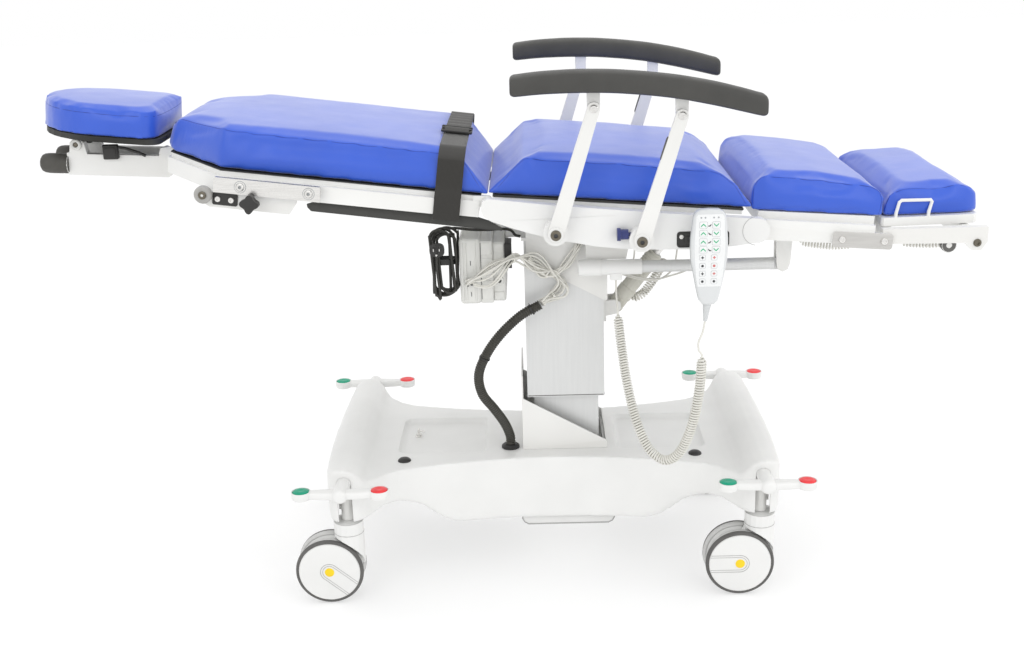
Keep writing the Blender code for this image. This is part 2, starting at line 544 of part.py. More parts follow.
# seat frame and cushion are drawn in the section's own axes, x along the seat and z square to it
SEAT_BOTTOM = 0.0686
seat = plate("beam", "xz", [[(-0.120, 0.030), (-0.040, -0.022), (0.060, -0.022), (0.330, 0.000), (0.350, 0.0560), (-0.120, 0.0560)]],
             -0.128, -0.108)
join(seat, plate("beam", "xz", [[(-0.120, 0.030), (-0.040, -0.022), (0.060, -0.022), (0.330, 0.000), (0.350, 0.0560),
                                 (-0.120, 0.0560)]], 0.108, 0.128))
for xa in (-0.100, 0.120, 0.310):
    join(seat, box("cross", xa - 0.014, xa + 0.014, -0.2637, 0.2637, 0.0300, 0.0555))
join(seat, box("board", -0.150, 0.358, -0.2500, 0.2500, 0.0550, SEAT_BOTTOM - GAP))
for s in (-1, 1):
    cut(seat, rod("pivot", (0, s * 0.10, 0), (0, s * 0.14, 0), 0.0104))
to_seat = FRAMES["seat"][1].inverted()
tip = to_seat @ high
for s in (-1, 1):
    y0, y1 = sorted((s * 0.0215, s * 0.0275))
    join(seat, plate("clevis", "xz", [[(tip.x - 0.018, 0.0560), (tip.x - 0.016, tip.z - 0.006), (tip.x - 0.006, tip.z - 0.015),
                                       (tip.x + 0.008, tip.z - 0.015), (tip.x + 0.018, tip.z - 0.004), (tip.x + 0.020, 0.0560)]], y0, y1))
drop = plate("drop", "xz", [[(0.045, -0.010), (0.150, -0.004), (0.140, -0.0795), (0.055, -0.0860)]], -0.1405, -0.1245)
join(seat, drop)
finish(seat, "seat_frame", "seat", "white", local=True)

L = SEAT_BOTTOM
seat_profile = [(-0.1545, L), (-0.1000, L + 0.0795), (-0.0920, L + 0.0835), (0.0950, L + 0.0850), (0.2850, L + 0.0790), (0.3100, L + 0.0720),
                (0.3390, L + 0.0506), (0.3680, L + 0.0060), (0.3690, L)]
finish(plate("cushion", "xz", [seat_profile], -CUSHION_HALF, CUSHION_HALF), "seat_cushion", "seat", "blue", local=True)

act = box("gear_case", 0.135, 0.182, LEG_ACT_Y - 0.0220, LEG_ACT_Y + 0.0090, LEG_ACT_Z - 0.0220, LEG_ACT_Z + 0.0300)
join(act, rod("sleeve", (0.150, LEG_ACT_Y, LEG_ACT_Z), (0.272, LEG_ACT_Y, LEG_ACT_Z), 0.0165, sides=28))
join(act, box("cord_socket", 0.2030, 0.2290, -0.1640, -0.1490, 0.6900, 0.7060))
cut(act, rod("bore", (0.10, LEG_ACT_Y, LEG_ACT_Z), (0.30, LEG_ACT_Y, LEG_ACT_Z), 0.0136, sides=28))
finish(act, "leg_actuator", "seat", "grey")
ram = rod("ram", (0.205, LEG_ACT_Y, LEG_ACT_Z), (0.553, LEG_ACT_Y, LEG_ACT_Z), 0.0130, sides=28)
join(ram, box("tongue", 0.545, 0.5840, LEG_ACT_Y - 0.0055, LEG_ACT_Y + 0.0055, LEG_ACT_Z - 0.0125, LEG_ACT_Z + 0.0125))
finish(ram, "leg_actuator_rod", "leg_rod", "grey")

# ---------------------------------------------------------------- armrests
for side, s in (("near", -1), ("far", 1)):
    y0, y1 = sorted((s * POST_IN, s * POST_OUT))
    for letter, at in (("a", ARM_A), ("b", ARM_B)):
        up = (at[0] + ARM_RISE[0], at[1] + ARM_RISE[1])
        post = plate("post", "xz", [capsule(at, 0.0165, up, 0.0125)], y0, y1)
        cut(post, rod("hole", (at[0], s * 0.30, at[1]), (at[0], s * 0.34, at[1]), 0.0073),
            rod("hole", (up[0], s * 0.30, up[1]), (up[0], s * 0.34, up[1]), 0.0058))
        finish(post, "arm_post_%s_%s" % (letter, side), "post_%s_%s" % (letter, side), "white")
    p0, p1 = sorted((s * PAD_IN, s * PAD_OUT))
    pad_top = [(0.0110, 1.1500), (0.0600, 1.1550), (0.1300, 1.1575), (0.2000, 1.1555), (0.2700, 1.1490), (0.3300, 1.1410),
               (0.4000, 1.1270), (0.4700, 1.1080), (0.4900, 1.0990), (0.4990, 1.0860)]
    pad_low = [(0.4940, 1.0580), (0.4600, 1.0670), (0.4000, 1.0820), (0.3300, 1.0970), (0.2700, 1.1055), (0.2000, 1.1120),
               (0.1300, 1.1140), (0.0600, 1.1130), (0.0020, 1.1085)]
    pad = plate("pad", "xz", [pad_top + pad_low], p0, p1)
    for at, zt in ((ARM_A, 1.122), (ARM_B, 1.108)):
        ux, uz = at[0] + ARM_RISE[0], at[1] + ARM_RISE[1]
        l0, l1 = sorted((s * 0.3070, s * (POST_IN - 0.0005)))
        join(pad, plate("lug", "xz", [[(ux - 0.016, zt), (ux - 0.012, uz - 0.006)] + arc(ux, uz, 0.0125, 200, 340, 6)
                                      + [(ux + 0.012, uz - 0.006), (ux + 0.016, zt)]], l0, l1),
             rod("pin", (ux, s * 0.3080, uz), (ux, s * 0.3265, uz), 0.0050, sides=16))
    finish(pad, "arm_pad_" + side, "pad_" + side, "charcoal")
    knob = turned("lock", [(0, 0.0190), (0.0040, 0.0190), (0.0040, 0.0108), (0.0105, 0.0105), (0.0105, -0.0045), (0.0132, -0.0050),
                           (0.0132, -0.0120), (0, -0.0125)], (LOCK_AT[0], s * LOCK_AT[1], LOCK_AT[2]), "X", 20)
    finish(knob, "arm_lock_" + side, "lock_" + side, "navy")

# ---------------------------------------------------------------- handset and its curly lead
body = [(0.3575, 0.8640), (0.3625, 0.8735), (0.3720, 0.8790), (0.4080, 0.8790), (0.4175, 0.8735), (0.4225, 0.8640), (0.4265, 0.8000),
        (0.4230, 0.7600), (0.4105, 0.7020), (0.4020, 0.6850), (0.3760, 0.6850), (0.3680, 0.7020), (0.3550, 0.7600), (0.3525, 0.8000)]
handset = plate("handset", "xz", [body], HANDSET_Y0, HANDSET_Y1)
join(handset, rod("relief", (0.3870, -0.333, 0.6900), (0.3845, -0.3335, 0.6480), 0.0090, 0.0048, sides=16))
finish(handset, "handset", "handset", "cream")
TAIL = [(0.3844, -0.3335, 0.6475), (0.3800, -0.3350, 0.6250), (0.3715, -0.3370, 0.6030), (0.3720, -0.3385, 0.5860)]
COIL = [(0.3790, -0.3390, 0.5760), (0.3745, -0.3390, 0.5020), (0.3610, -0.3350, 0.4220), (0.3380, -0.3240, 0.3580),
        (0.3070, -0.3080, 0.3330), (0.2740, -0.2870, 0.3540), (0.2500, -0.2620, 0.4100), (0.2340, -0.2330, 0.4800),
        (0.2240, -0.2050, 0.5550), (0.2180, -0.1840, 0.6230), (0.2160, -0.1640, 0.6560), (0.2160, -0.1568, 0.6740), (0.2160, -0.1565, 0.6880)]
cord = tube("coil", smooth(COIL, 30), 0.0110, 1)
join(cord, tube("tail", smooth(TAIL + [(0.3790, -0.3390, 0.5740)], 12), 0.0028, 1))
finish(cord, "handset_cord", "seat", "cream")

# ---------------------------------------------------------------- back section, drawn in its own axes
outer = [(-0.016, -0.2620), (-0.0700, -0.2620), (-0.0760, -0.2720), (-0.5450, -0.2720), (-0.6820, -0.1300), (-0.6820, 0.1300),
         (-0.5450, 0.2720), (-0.0760, 0.2720), (-0.0700, 0.2620), (-0.016, 0.2620)]
inside = [(-0.040, -0.2400), (-0.5360, -0.2500), (-0.6600, -0.1210), (-0.6600, 0.1210), (-0.5360, 0.2500), (-0.040, 0.2400)]
back = plate("frame", "xy", [outer, inside], -0.0370, -0.0040)
join(back, box("brace", -0.330, -0.300, -0.262, 0.262, -0.0300, -0.0060))
board = [(-0.0160, -0.2540), (-0.5420, -0.2600), (-0.6760, -0.1240), (-0.6760, 0.1240), (-0.5420, 0.2600), (-0.0160, 0.2540)]
join(back, plate("board", "xy", [board], -0.0060, 0.0080))
for s in (-1, 1):
    y0, y1 = sorted((s * 0.2620, s * 0.2720))
    join(back, plate("plate", "xz", [[(-0.5880, -0.0360), (-0.5880, -0.0530), (-0.5600, -0.0680), (-0.3980, -0.0680), (-0.3850, -0.0450), (-0.3850, -0.0360)]],
                     y0, y1),
         rod("axle", (ROLLER_AT[0], s * 0.268, ROLLER_AT[1]), (ROLLER_AT[0], s * 0.2935, ROLLER_AT[1]), 0.0040, sides=16))
    y0, y1 = sorted((s * 0.0610, s * 0.0670))
    pivot = FRAMES["back"][1].inverted() @ Vector((HEAD_FRAME_PIVOT[0], 0, HEAD_FRAME_PIVOT[1]))
    join(back, plate("ear", "xz", [[(-0.6650, -0.0340), (-0.6650, -0.0050), (-0.6900, 0.0050), (pivot.x - 0.0080, pivot.z + 0.0090),
                                    (pivot.x - 0.0120, pivot.z - 0.0040), (pivot.x - 0.0020, pivot.z - 0.0120)]], y0, y1),
         rod("pin", (pivot.x, s * 0.0660, pivot.z), (pivot.x, s * 0.0430, pivot.z), 0.0055, sides=16))
    y0, y1 = sorted((s * 0.2470, s * 0.2600))
    join(back, plate("knuckle", "xz", [[(-0.0300, -0.0300), (-0.0300, 0.0060)] + arc(0, 0, 0.0079, 100, -120, 10)], y0, y1))
    cut(back, rod("pin_hole", (0, s * 0.23, 0), (0, s * 0.28, 0), 0.0053, sides=16))
finish(back, "back_frame", "back", "white", local=True)

B = 0.0083
shape = [(-0.0070, B), (-0.0620, B + 0.0790), (-0.0700, B + 0.0820), (-0.3000, B + 0.0850), (-0.5500, B + 0.0840), (-0.6500, B + 0.0760), (-0.6750, B + 0.0500),
         (-0.6760, B + 0.0120), (-0.6700, B)]
cushion = plate("cushion", "xz", [shape], -0.30, 0.30)
plan = [(0.02, -CUSHION_HALF), (-0.5300, -CUSHION_HALF), (-0.5480, -0.2500), (-0.6600, -0.1300), (-0.6760, -0.1000), (-0.6760, 0.1000),
        (-0.6600, 0.1300), (-0.5480, 0.2500), (-0.5300, CUSHION_HALF), (0.02, CUSHION_HALF)]
keep(cushion, plate("plan", "xy", [plan], -0.1, 0.2))
finish(cushion, "back_cushion", "back", "blue", local=True)

for side, s in (("near", -1), ("far", 1)):
    y0, y1 = sorted((s * 0.2850, s * 0.2950))
    rail = plate("rail", "xz", [[(-0.5460, -0.0010), (-0.5490, -0.0040), (-0.5490, -0.0320), (-0.3350, -0.0320), (-0.3350, -0.0040), (-0.3380, -0.0010)]], y0, y1)
    for xa in (-0.4950, -0.3580):
        join(rail, rod("spacer", (xa, s * (0.2720 + GAP), -0.0165), (xa, s * 0.2880, -0.0165), 0.0075, sides=16))
    finish(rail, "accessory_rail_" + side, "back", "steel", local=True)
    roller = turned("roller", [(0.0046, 0.0080), (0.0150, 0.0080), (0.0180, 0.0050), (0.0180, -0.0050), (0.0150, -0.0080), (0.0046, -0.0080),
                               (0.0046, 0.0080)], (0, 0, 0), "Y", 24)
    roller.data.transform(Matrix.Translation((0, s * 0.0023, 0)))
    finish(roller, "bumper_roller_" + side, "roller_" + side, "grey", local=True)

arm = [(-0.3660, -0.0465), (-0.3450, -0.0375), (-0.0200, -0.0375), (0.0040, -0.0430), (0.0350, -0.0560), (0.0350, -0.0610),
       (0.0000, -0.0615), (-0.3560, -0.0600), (-0.3640, -0.0530)]
lift_arms = plate("arm", "xz", [arm], -0.2580, -0.2520)
join(lift_arms, plate("arm", "xz", [arm], 0.2520, 0.2580), rod("tie", (-0.3300, -0.2550, -0.0490), (-0.3300, 0.2550, -0.0490), 0.0100))
finish(lift_arms, "back_lift_arms", "back", "black", local=True)

top = B + 0.0862
line = [(-0.2755, -0.0480), (-0.2755, 0.0000), (-0.2640, 0.0180), (-0.2625, top - 0.0040), (-0.2600, top + 0.0030), (-0.2480, top + 0.0050),
        (0.0000, top + 0.0090)]
line = line + [(-y, z) for y, z in reversed(line[:-1])]


def band(points, width):
    """Outline of a strip of even width along a line."""
    left, right = [], []
    for i, p in enumerate(points):
        a, b = Vector(points[max(i - 1, 0)]), Vector(points[min(i + 1, len(points) - 1)])
        n = (b - a).normalized()
        left.append((p[0] - n.y * width / 2, p[1] + n.x * width / 2))
        right.append((p[0] + n.y * width / 2, p[1] - n.x * width / 2))
    return left + right[::-1]


belt = plate("belt", "yz", [band(line, 0.0026)], -0.1080, -0.0540)
join(belt, box("buckle", -0.1140, -0.0480, -0.1050, -0.0650, top + 0.0064, top + 0.0180))
finish(belt, "seat_belt", "back", "black", local=True)

star = []
for i in range(32):
    t = 2 * math.pi * i / 32
    radius = 0.0165 + 0.0030 * math.cos(4 * t)
    star.append((radius * math.cos(t), radius * math.sin(t)))
knob = plate("knob", "xz", [star], -0.0440, -0.0260)
join(knob, rod("stud", (0, -0.0300, 0), (0, -0.0003, 0), 0.0050, sides=16))
finish(knob, "rail_clamp_knob", "knob", "black", local=True)

# ---------------------------------------------------------------- head section
rail_side = [(-0.2140, -0.0080), (-0.2140, -0.0552), (-0.1900, -0.0560), (0.0060, -0.0560), (0.0160, -0.0480), (0.0140, -0.0180), (0.0110, 0.0060),
             (0.0000, 0.0110), (-0.0100, 0.0070), (-0.0140, -0.0100), (-0.1700, -0.0100), (-0.1760, 0.0150), (-0.1840, 0.0210), (-0.1990, 0.0210),
             (-0.2060, 0.0150), (-0.2080, -0.0080)]
carriage = plate("rail", "xz", [rail_side], -0.0600, -0.0400)
join(carriage, plate("rail", "xz", [rail_side], 0.0400, 0.0600), box("floor", -0.2000, -0.0100, -0.0450, 0.0450, -0.0560, -0.0500))
local_pivot = FRAMES["head_frame"][1].inverted() @ Vector((HEAD_REST_PIVOT[0], 0, HEAD_REST_PIVOT[1]))
for s in (-1, 1):
    cut(carriage, rod("hole", (0, s * 0.030, 0), (0, s * 0.070, 0), 0.0059, sides=16))
    join(carriage, rod("grip", (-0.2120, s * 0.0500, -0.0330), (-0.2560, s * 0.0500, -0.0330), 0.0210),
         rod("grip_end", (-0.2540, s * 0.0500, -0.0330), (-0.2710, s * 0.0500, -0.0330), 0.0205, 0.0110))
join(carriage, rod("pin", (local_pivot.x, -0.0450, local_pivot.z), (local_pivot.x, 0.0450, local_pivot.z), 0.0055, sides=16))
finish(carriage, "head_frame", "head_frame", "white", local=True)

dee = arc(0.0650, 0.0, 0.1400, 90, 270, 16) + [(0.1100, -0.1385)] + arc(0.1620, -0.1030, 0.0330, -80, 0, 5) + arc(0.1620, 0.1030, 0.0330, 0, 80, 5) + [(0.1100, 0.1385)]
rest = plate("plate", "xy", [dee], 0.0240, 0.0355)
for s in (-1, 1):
    y0, y1 = sorted((s * 0.0250, s * 0.0330))
    join(rest, plate("lug", "xz", [[(-0.022, 0.0260), (-0.012, -0.004)] + arc(0, 0, 0.0120, 200, 340, 6) + [(0.012, -0.004), (0.030, 0.0260)]], y0, y1))
cut(rest, rod("hole", (0, -0.06, 0), (0, 0.06, 0), 0.0059, sides=16))
finish(rest, "head_plate", "head_rest", "black", local=True)
pillow = plate("pillow", "xy", [[(u * 0.985 + 0.001, v * 0.985) for u, v in dee]], 0.0358, 0.0960)
finish(pillow, "head_cushion", "head_rest", "blue", local=True)

# ---------------------------------------------------------------- leg section
rail_side = [(-0.0120, -0.0160), (-0.0160, 0.0000), (-0.0100, 0.0130), (0.0200, 0.0185), (0.2430, 0.0165), (0.2430, -0.0240), (0.0100, -0.0240)]
leg = plate("rail", "xz", [rail_side], -0.2625, -0.2430)
join(leg, plate("rail", "xz", [rail_side], 0.2430, 0.2625), box("end", 0.2180, 0.2430, -0.2500, 0.2500, -0.0220, 0.0080),
     box("cross", 0.0550, 0.1000, -0.2500, 0.2500, -0.0220, -0.0020), box("board", 0.0050, 0.2430, -0.2460, 0.2460, 0.0060, 0.0325))
for s in (-1, 1):
    cut(leg, rod("hole", (0, s * 0.22, 0), (0, s * 0.28, 0), 0.0104))
    y0, y1 = sorted((s * 0.2620, s * 0.2690))
    join(leg, plate("link", "xz", [rounded(0.1580, 0.2785, -0.0290, 0.0020, 0.006, 3)], y0, y1))
for y0 in (-0.1670, -0.1400):
    join(leg, plate("bracket", "xz", [[(0.0560, -0.0040), (0.0980, -0.0040), (0.0990, -0.0950), (0.0940, -0.1090), (0.0840, -0.1140),
                                       (0.0740, -0.1090), (0.0700, -0.0950), (0.0640, -0.0300)]], y0, y0 + 0.0070))
finish(leg, "leg_frame", "leg", "white", local=True)
leg_profile = [(-0.0070, 0.0330), (-0.0105, 0.0450), (-0.0115, 0.0850), (-0.0010, 0.1030), (0.0137, 0.1110), (0.1233, 0.1085), (0.2204, 0.0985), (0.2450, 0.0885),
               (0.2545, 0.0725), (0.2540, 0.0450), (0.2500, 0.0330)]
finish(plate("cushion", "xz", [leg_profile], -0.2500, 0.2500), "leg_cushion", "leg", "blue", local=True)

# ---------------------------------------------------------------- foot section
rail_side = [(-0.0040, -0.0060), (-0.0040, 0.0200), (0.2100, 0.0200), (0.2100, -0.0110), (0.1980, -0.0290), (0.1800, -0.0290), (0.1640, -0.0130), (0.0060, -0.0110)]
foot = plate("rail", "xz", [rail_side], -0.2615, -0.2430)
join(foot, plate("rail", "xz", [rail_side], 0.2430, 0.2615), box("end", 0.1640, 0.1800, -0.2500, 0.2500, -0.0110, 0.0180),
     box("cross", 0.0000, 0.0200, -0.2500, 0.2500, -0.0050, 0.0180))
for s in (-1, 1):
    join(foot, rod("roller", (0.1360, s * 0.2330, -0.0200), (0.1360, s * 0.2500, -0.0200), 0.0150))
finish(foot, "foot_frame", "foot", "white", local=True)
tray = plate("tray", "xy", [[(-0.0020, -0.2360), (0.0020, -0.2400), (0.1900, -0.2240), (0.2000, -0.2120), (0.2000, 0.2120), (0.1900, 0.2240),
                            (0.0020, 0.2400), (-0.0020, 0.2360)]], 0.0203, 0.0385)
for s in (-1, 1):
    ya, yb = s * 0.2345, s * 0.2290
    join(tray, tube("loop", [(0.0270, ya, 0.0340), (0.0280, ya, 0.0480), (0.0330, ya, 0.0690), (0.0380, ya * 0.996, 0.0730), (0.0980, yb * 1.004, 0.0720), (0.1010, yb, 0.0680),
                             (0.0960, yb, 0.0480), (0.0950, yb, 0.0340)], 0.0036, 2))
finish(tray, "foot_tray", "foot", "white", local=True)
foot_profile = [(0.0040, 0.0388), (0.0040, 0.0550), (0.0120, 0.0840), (0.0240, 0.0920), (0.0400, 0.0985), (0.1600, 0.1030), (0.1860, 0.0955), (0.2005, 0.0825), (0.2050, 0.0550),
                (0.2030, 0.0388)]
cushion = plate("cushion", "xz", [foot_profile], -0.30, 0.30)
keep(cushion, plate("plan", "xy", [[(-0.0200, -0.2300), (0.1850, -0.2140), (0.1990, -0.2060), (0.2060, -0.1900), (0.2060, 0.1900), (0.1990, 0.2060),
                                    (0.1850, 0.2140), (-0.0200, 0.2300)]], 0.0, 0.2))
finish(cushion, "foot_cushion", "foot", "blue", local=True)
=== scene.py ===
"""Looks of the procedure chair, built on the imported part."""

import math

import bmesh
import bpy
import numpy as np
from mathutils import Matrix, Vector, noise
from mathutils.bvhtree import BVHTree


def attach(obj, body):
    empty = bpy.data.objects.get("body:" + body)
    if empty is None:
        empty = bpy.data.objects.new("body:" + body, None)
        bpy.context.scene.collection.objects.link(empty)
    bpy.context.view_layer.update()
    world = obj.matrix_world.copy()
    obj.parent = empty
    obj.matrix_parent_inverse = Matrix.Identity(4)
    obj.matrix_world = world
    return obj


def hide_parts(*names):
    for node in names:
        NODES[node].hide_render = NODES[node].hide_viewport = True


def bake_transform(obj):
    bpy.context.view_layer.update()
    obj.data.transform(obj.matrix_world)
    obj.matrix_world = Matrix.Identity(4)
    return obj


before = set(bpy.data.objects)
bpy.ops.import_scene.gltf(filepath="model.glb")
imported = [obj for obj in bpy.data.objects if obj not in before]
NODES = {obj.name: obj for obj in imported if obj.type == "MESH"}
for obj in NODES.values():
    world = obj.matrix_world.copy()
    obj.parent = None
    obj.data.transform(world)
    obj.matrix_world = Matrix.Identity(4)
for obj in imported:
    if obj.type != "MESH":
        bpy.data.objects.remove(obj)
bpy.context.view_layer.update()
S = 0.0288
BASE_X = 0.070


def at(pivot, deg):
    return Matrix.Translation((pivot[0] + S, 0, pivot[1])) @ Matrix.Rotation(math.radians(deg), 4, "Y")


ROOT = Matrix.Translation((S, 0, 0))
SEAT = at((0.106, 0.822), 4.7)
BACK = at((-0.0495, 0.893), 7.4)
HEADF = at((-0.751, 0.976), 3.0)
HEADR = at((-0.942, 0.997), 6.0)
LEG = at((0.494, 0.821), 4.3)
FOOT = at((0.757, 0.791), 0.0)
ARM_A, ARM_B, RISE = (0.086, 0.832), (0.258, 0.814), (0.078, 0.249)


def W(x, y, z):
    return Vector((x + S, y, z))


# ---------------------------------------------------------------- camera, light, floor
def camera():
    yaw, pitch, roll = -0.0194, 0.3112, -0.0307
    cy, sy, cp, sp = math.cos(yaw), math.sin(yaw), math.cos(pitch), math.sin(pitch)
    f = Vector((sy * cp, cy * cp, -sp))
    r = Vector((cy, -sy, 0))
    u = r.cross(f)
    cr, sr = math.cos(roll), math.sin(roll)
    right, up = cr * r + sr * u, -sr * r + cr * u
    data = bpy.data.cameras.new("camera")
    data.sensor_width = 36.0
    data.lens = 36.0 * 1306.45 / 1024.0
    data.clip_end = 60
    cam = bpy.data.objects.new("camera", data)
    bpy.context.scene.collection.objects.link(cam)
    m = Matrix.Identity(4)
    for i in range(3):
        m[i][0], m[i][1], m[i][2] = right[i], up[i], -f[i]
    m.translation = (0.04192 + S, -2.86332, 1.44948)
    cam.matrix_world = m
    bpy.context.scene.camera = cam


camera()


def lights():
    world = bpy.data.worlds.new("studio")
    bpy.context.scene.world = world
    world.use_nodes = True
    bg = world.node_tree.nodes["Background"]
    bg.inputs["Color"].default_value = (1.0, 1.0, 1.0, 1.0)
    bg.inputs["Strength"].default_value = 1.0

    def area(name, where, look, size, power):
        data = bpy.data.lights.new(name, "AREA")
        data.shape = "RECTANGLE"
        data.size, data.size_y = size
        data.energy = power
        obj = bpy.data.objects.new(name, data)
        bpy.context.scene.collection.objects.link(obj)
        obj.location = where
        obj.rotation_euler = (Vector(look) - Vector(where)).to_track_quat("-Z", "Y").to_euler()

    area("top", (0.0, 0.3, 3.6), (0.0, 0.0, 0.5), (3.6, 2.6), 24)
    area("front", (-1.9, -3.4, 2.3), (0.0, 0.0, 0.7), (2.2, 1.8), 19)
    area("front_right", (2.2, -3.2, 2.2), (0.0, 0.0, 0.6), (2.0, 1.6), 13)
    area("side", (3.4, -0.8, 2.0), (0.2, 0.0, 0.7), (1.6, 1.8), 14)
    scene = bpy.context.scene
    scene.view_settings.view_transform = "Standard"
    scene.view_settings.look = "None"
    scene.view_settings.exposure = 0.0
    scene.view_settings.gamma = 1.0


lights()


# ---------------------------------------------------------------- materials
def material(name, rgb, rough, metal=0.0, vary=0.05, vary_scale=9.0, grain=None, grain_scale=600.0, grain_depth=0.0002,
             grain_strength=0.35, streak=None, coat=0.0, spec=0.5, rough_vary=0.06, edge_tint=None, sheen=0.0):
    """A surface whose colour, roughness and relief all come from procedural noise in metres."""
    mat = bpy.data.materials.new(name)
    mat.use_nodes = True
    nt = mat.node_tree
    n, link = nt.nodes, nt.links
    bsdf = n["Principled BSDF"]
    bsdf.inputs["Metallic"].default_value = metal
    bsdf.inputs["Specular IOR Level"].default_value = spec
    bsdf.inputs["Coat Weight"].default_value = coat
    if coat:
        bsdf.inputs["Coat Roughness"].default_value = 0.18
    if sheen:
        bsdf.inputs["Sheen Weight"].default_value = sheen
        bsdf.inputs["Sheen Roughness"].default_value = 0.4
    co = n.new("ShaderNodeTexCoord")
    scale = n.new("ShaderNodeMapping")
    if streak:
        scale.inputs["Scale"].default_value = streak
    link.new(co.outputs["Object"], scale.inputs["Vector"])
    tint = n.new("ShaderNodeTexNoise")
    tint.inputs["Scale"].default_value = vary_scale
    tint.inputs["Detail"].default_value = 5.0
    link.new(scale.outputs["Vector"], tint.inputs["Vector"])
    ramp = n.new("ShaderNodeValToRGB")
    ramp.color_ramp.elements[0].position = 0.30
    ramp.color_ramp.elements[1].position = 0.72
    ramp.color_ramp.elements[0].color = (*[max(c * (1 - vary), 0) for c in rgb], 1)
    ramp.color_ramp.elements[1].color = (*[min(c * (1 + vary), 1) for c in rgb], 1)
    link.new(tint.outputs["Fac"], ramp.inputs["Fac"])
    colour = ramp.outputs["Color"]
    # Sharp convex edges, found by pointiness, drift towards edge_tint: darker on the white coat, lighter on the black
    # coat.
    if edge_tint:
        geo = n.new("ShaderNodeNewGeometry")
        edge = n.new("ShaderNodeMapRange")
        edge.inputs["From Min"].default_value = 0.53
        edge.inputs["From Max"].default_value = 0.64
        edge.inputs["To Max"].default_value = 0.55
        link.new(geo.outputs["Pointiness"], edge.inputs["Value"])
        mix = n.new("ShaderNodeMix")
        mix.data_type = "RGBA"
        mix.inputs["B"].default_value = (*edge_tint, 1)
        link.new(edge.outputs["Result"], mix.inputs["Factor"])
        link.new(colour, mix.inputs["A"])
        colour = mix.outputs["Result"]
    link.new(colour, bsdf.inputs["Base Color"])
    patch = n.new("ShaderNodeTexNoise")
    patch.inputs["Scale"].default_value = vary_scale * 3.1
    patch.inputs["Detail"].default_value = 4.0
    link.new(scale.outputs["Vector"], patch.inputs["Vector"])
    span = n.new("ShaderNodeMapRange")
    span.inputs["From Min"].default_value = 0.3
    span.inputs["From Max"].default_value = 0.7
    span.inputs["To Min"].default_value = max(rough - rough_vary, 0.03)
    span.inputs["To Max"].default_value = min(rough + rough_vary, 1.0)
    link.new(patch.outputs["Fac"], span.inputs["Value"])
    link.new(span.outputs["Result"], bsdf.inputs["Roughness"])
    if grain:
        bump = n.new("ShaderNodeBump")
        bump.inputs["Strength"].default_value = grain_strength
        bump.inputs["Distance"].default_value = grain_depth
        if grain == "cells":
            tex = n.new("ShaderNodeTexVoronoi")
            tex.feature = "SMOOTH_F1"
            tex.inputs["Scale"].default_value = grain_scale
            tex.inputs["Smoothness"].default_value = 0.5
            link.new(co.outputs["Object"], tex.inputs["Vector"])
            out = tex.outputs["Distance"]
        else:
            tex = n.new("ShaderNodeTexNoise")
            tex.inputs["Scale"].default_value = grain_scale
            tex.inputs["Detail"].default_value = 3.0
            link.new(scale.outputs["Vector"], tex.inputs["Vector"])
            out = tex.outputs["Fac"]
        link.new(out, bump.inputs["Height"])
        link.new(bump.outputs["Normal"], bsdf.inputs["Normal"])
    return mat


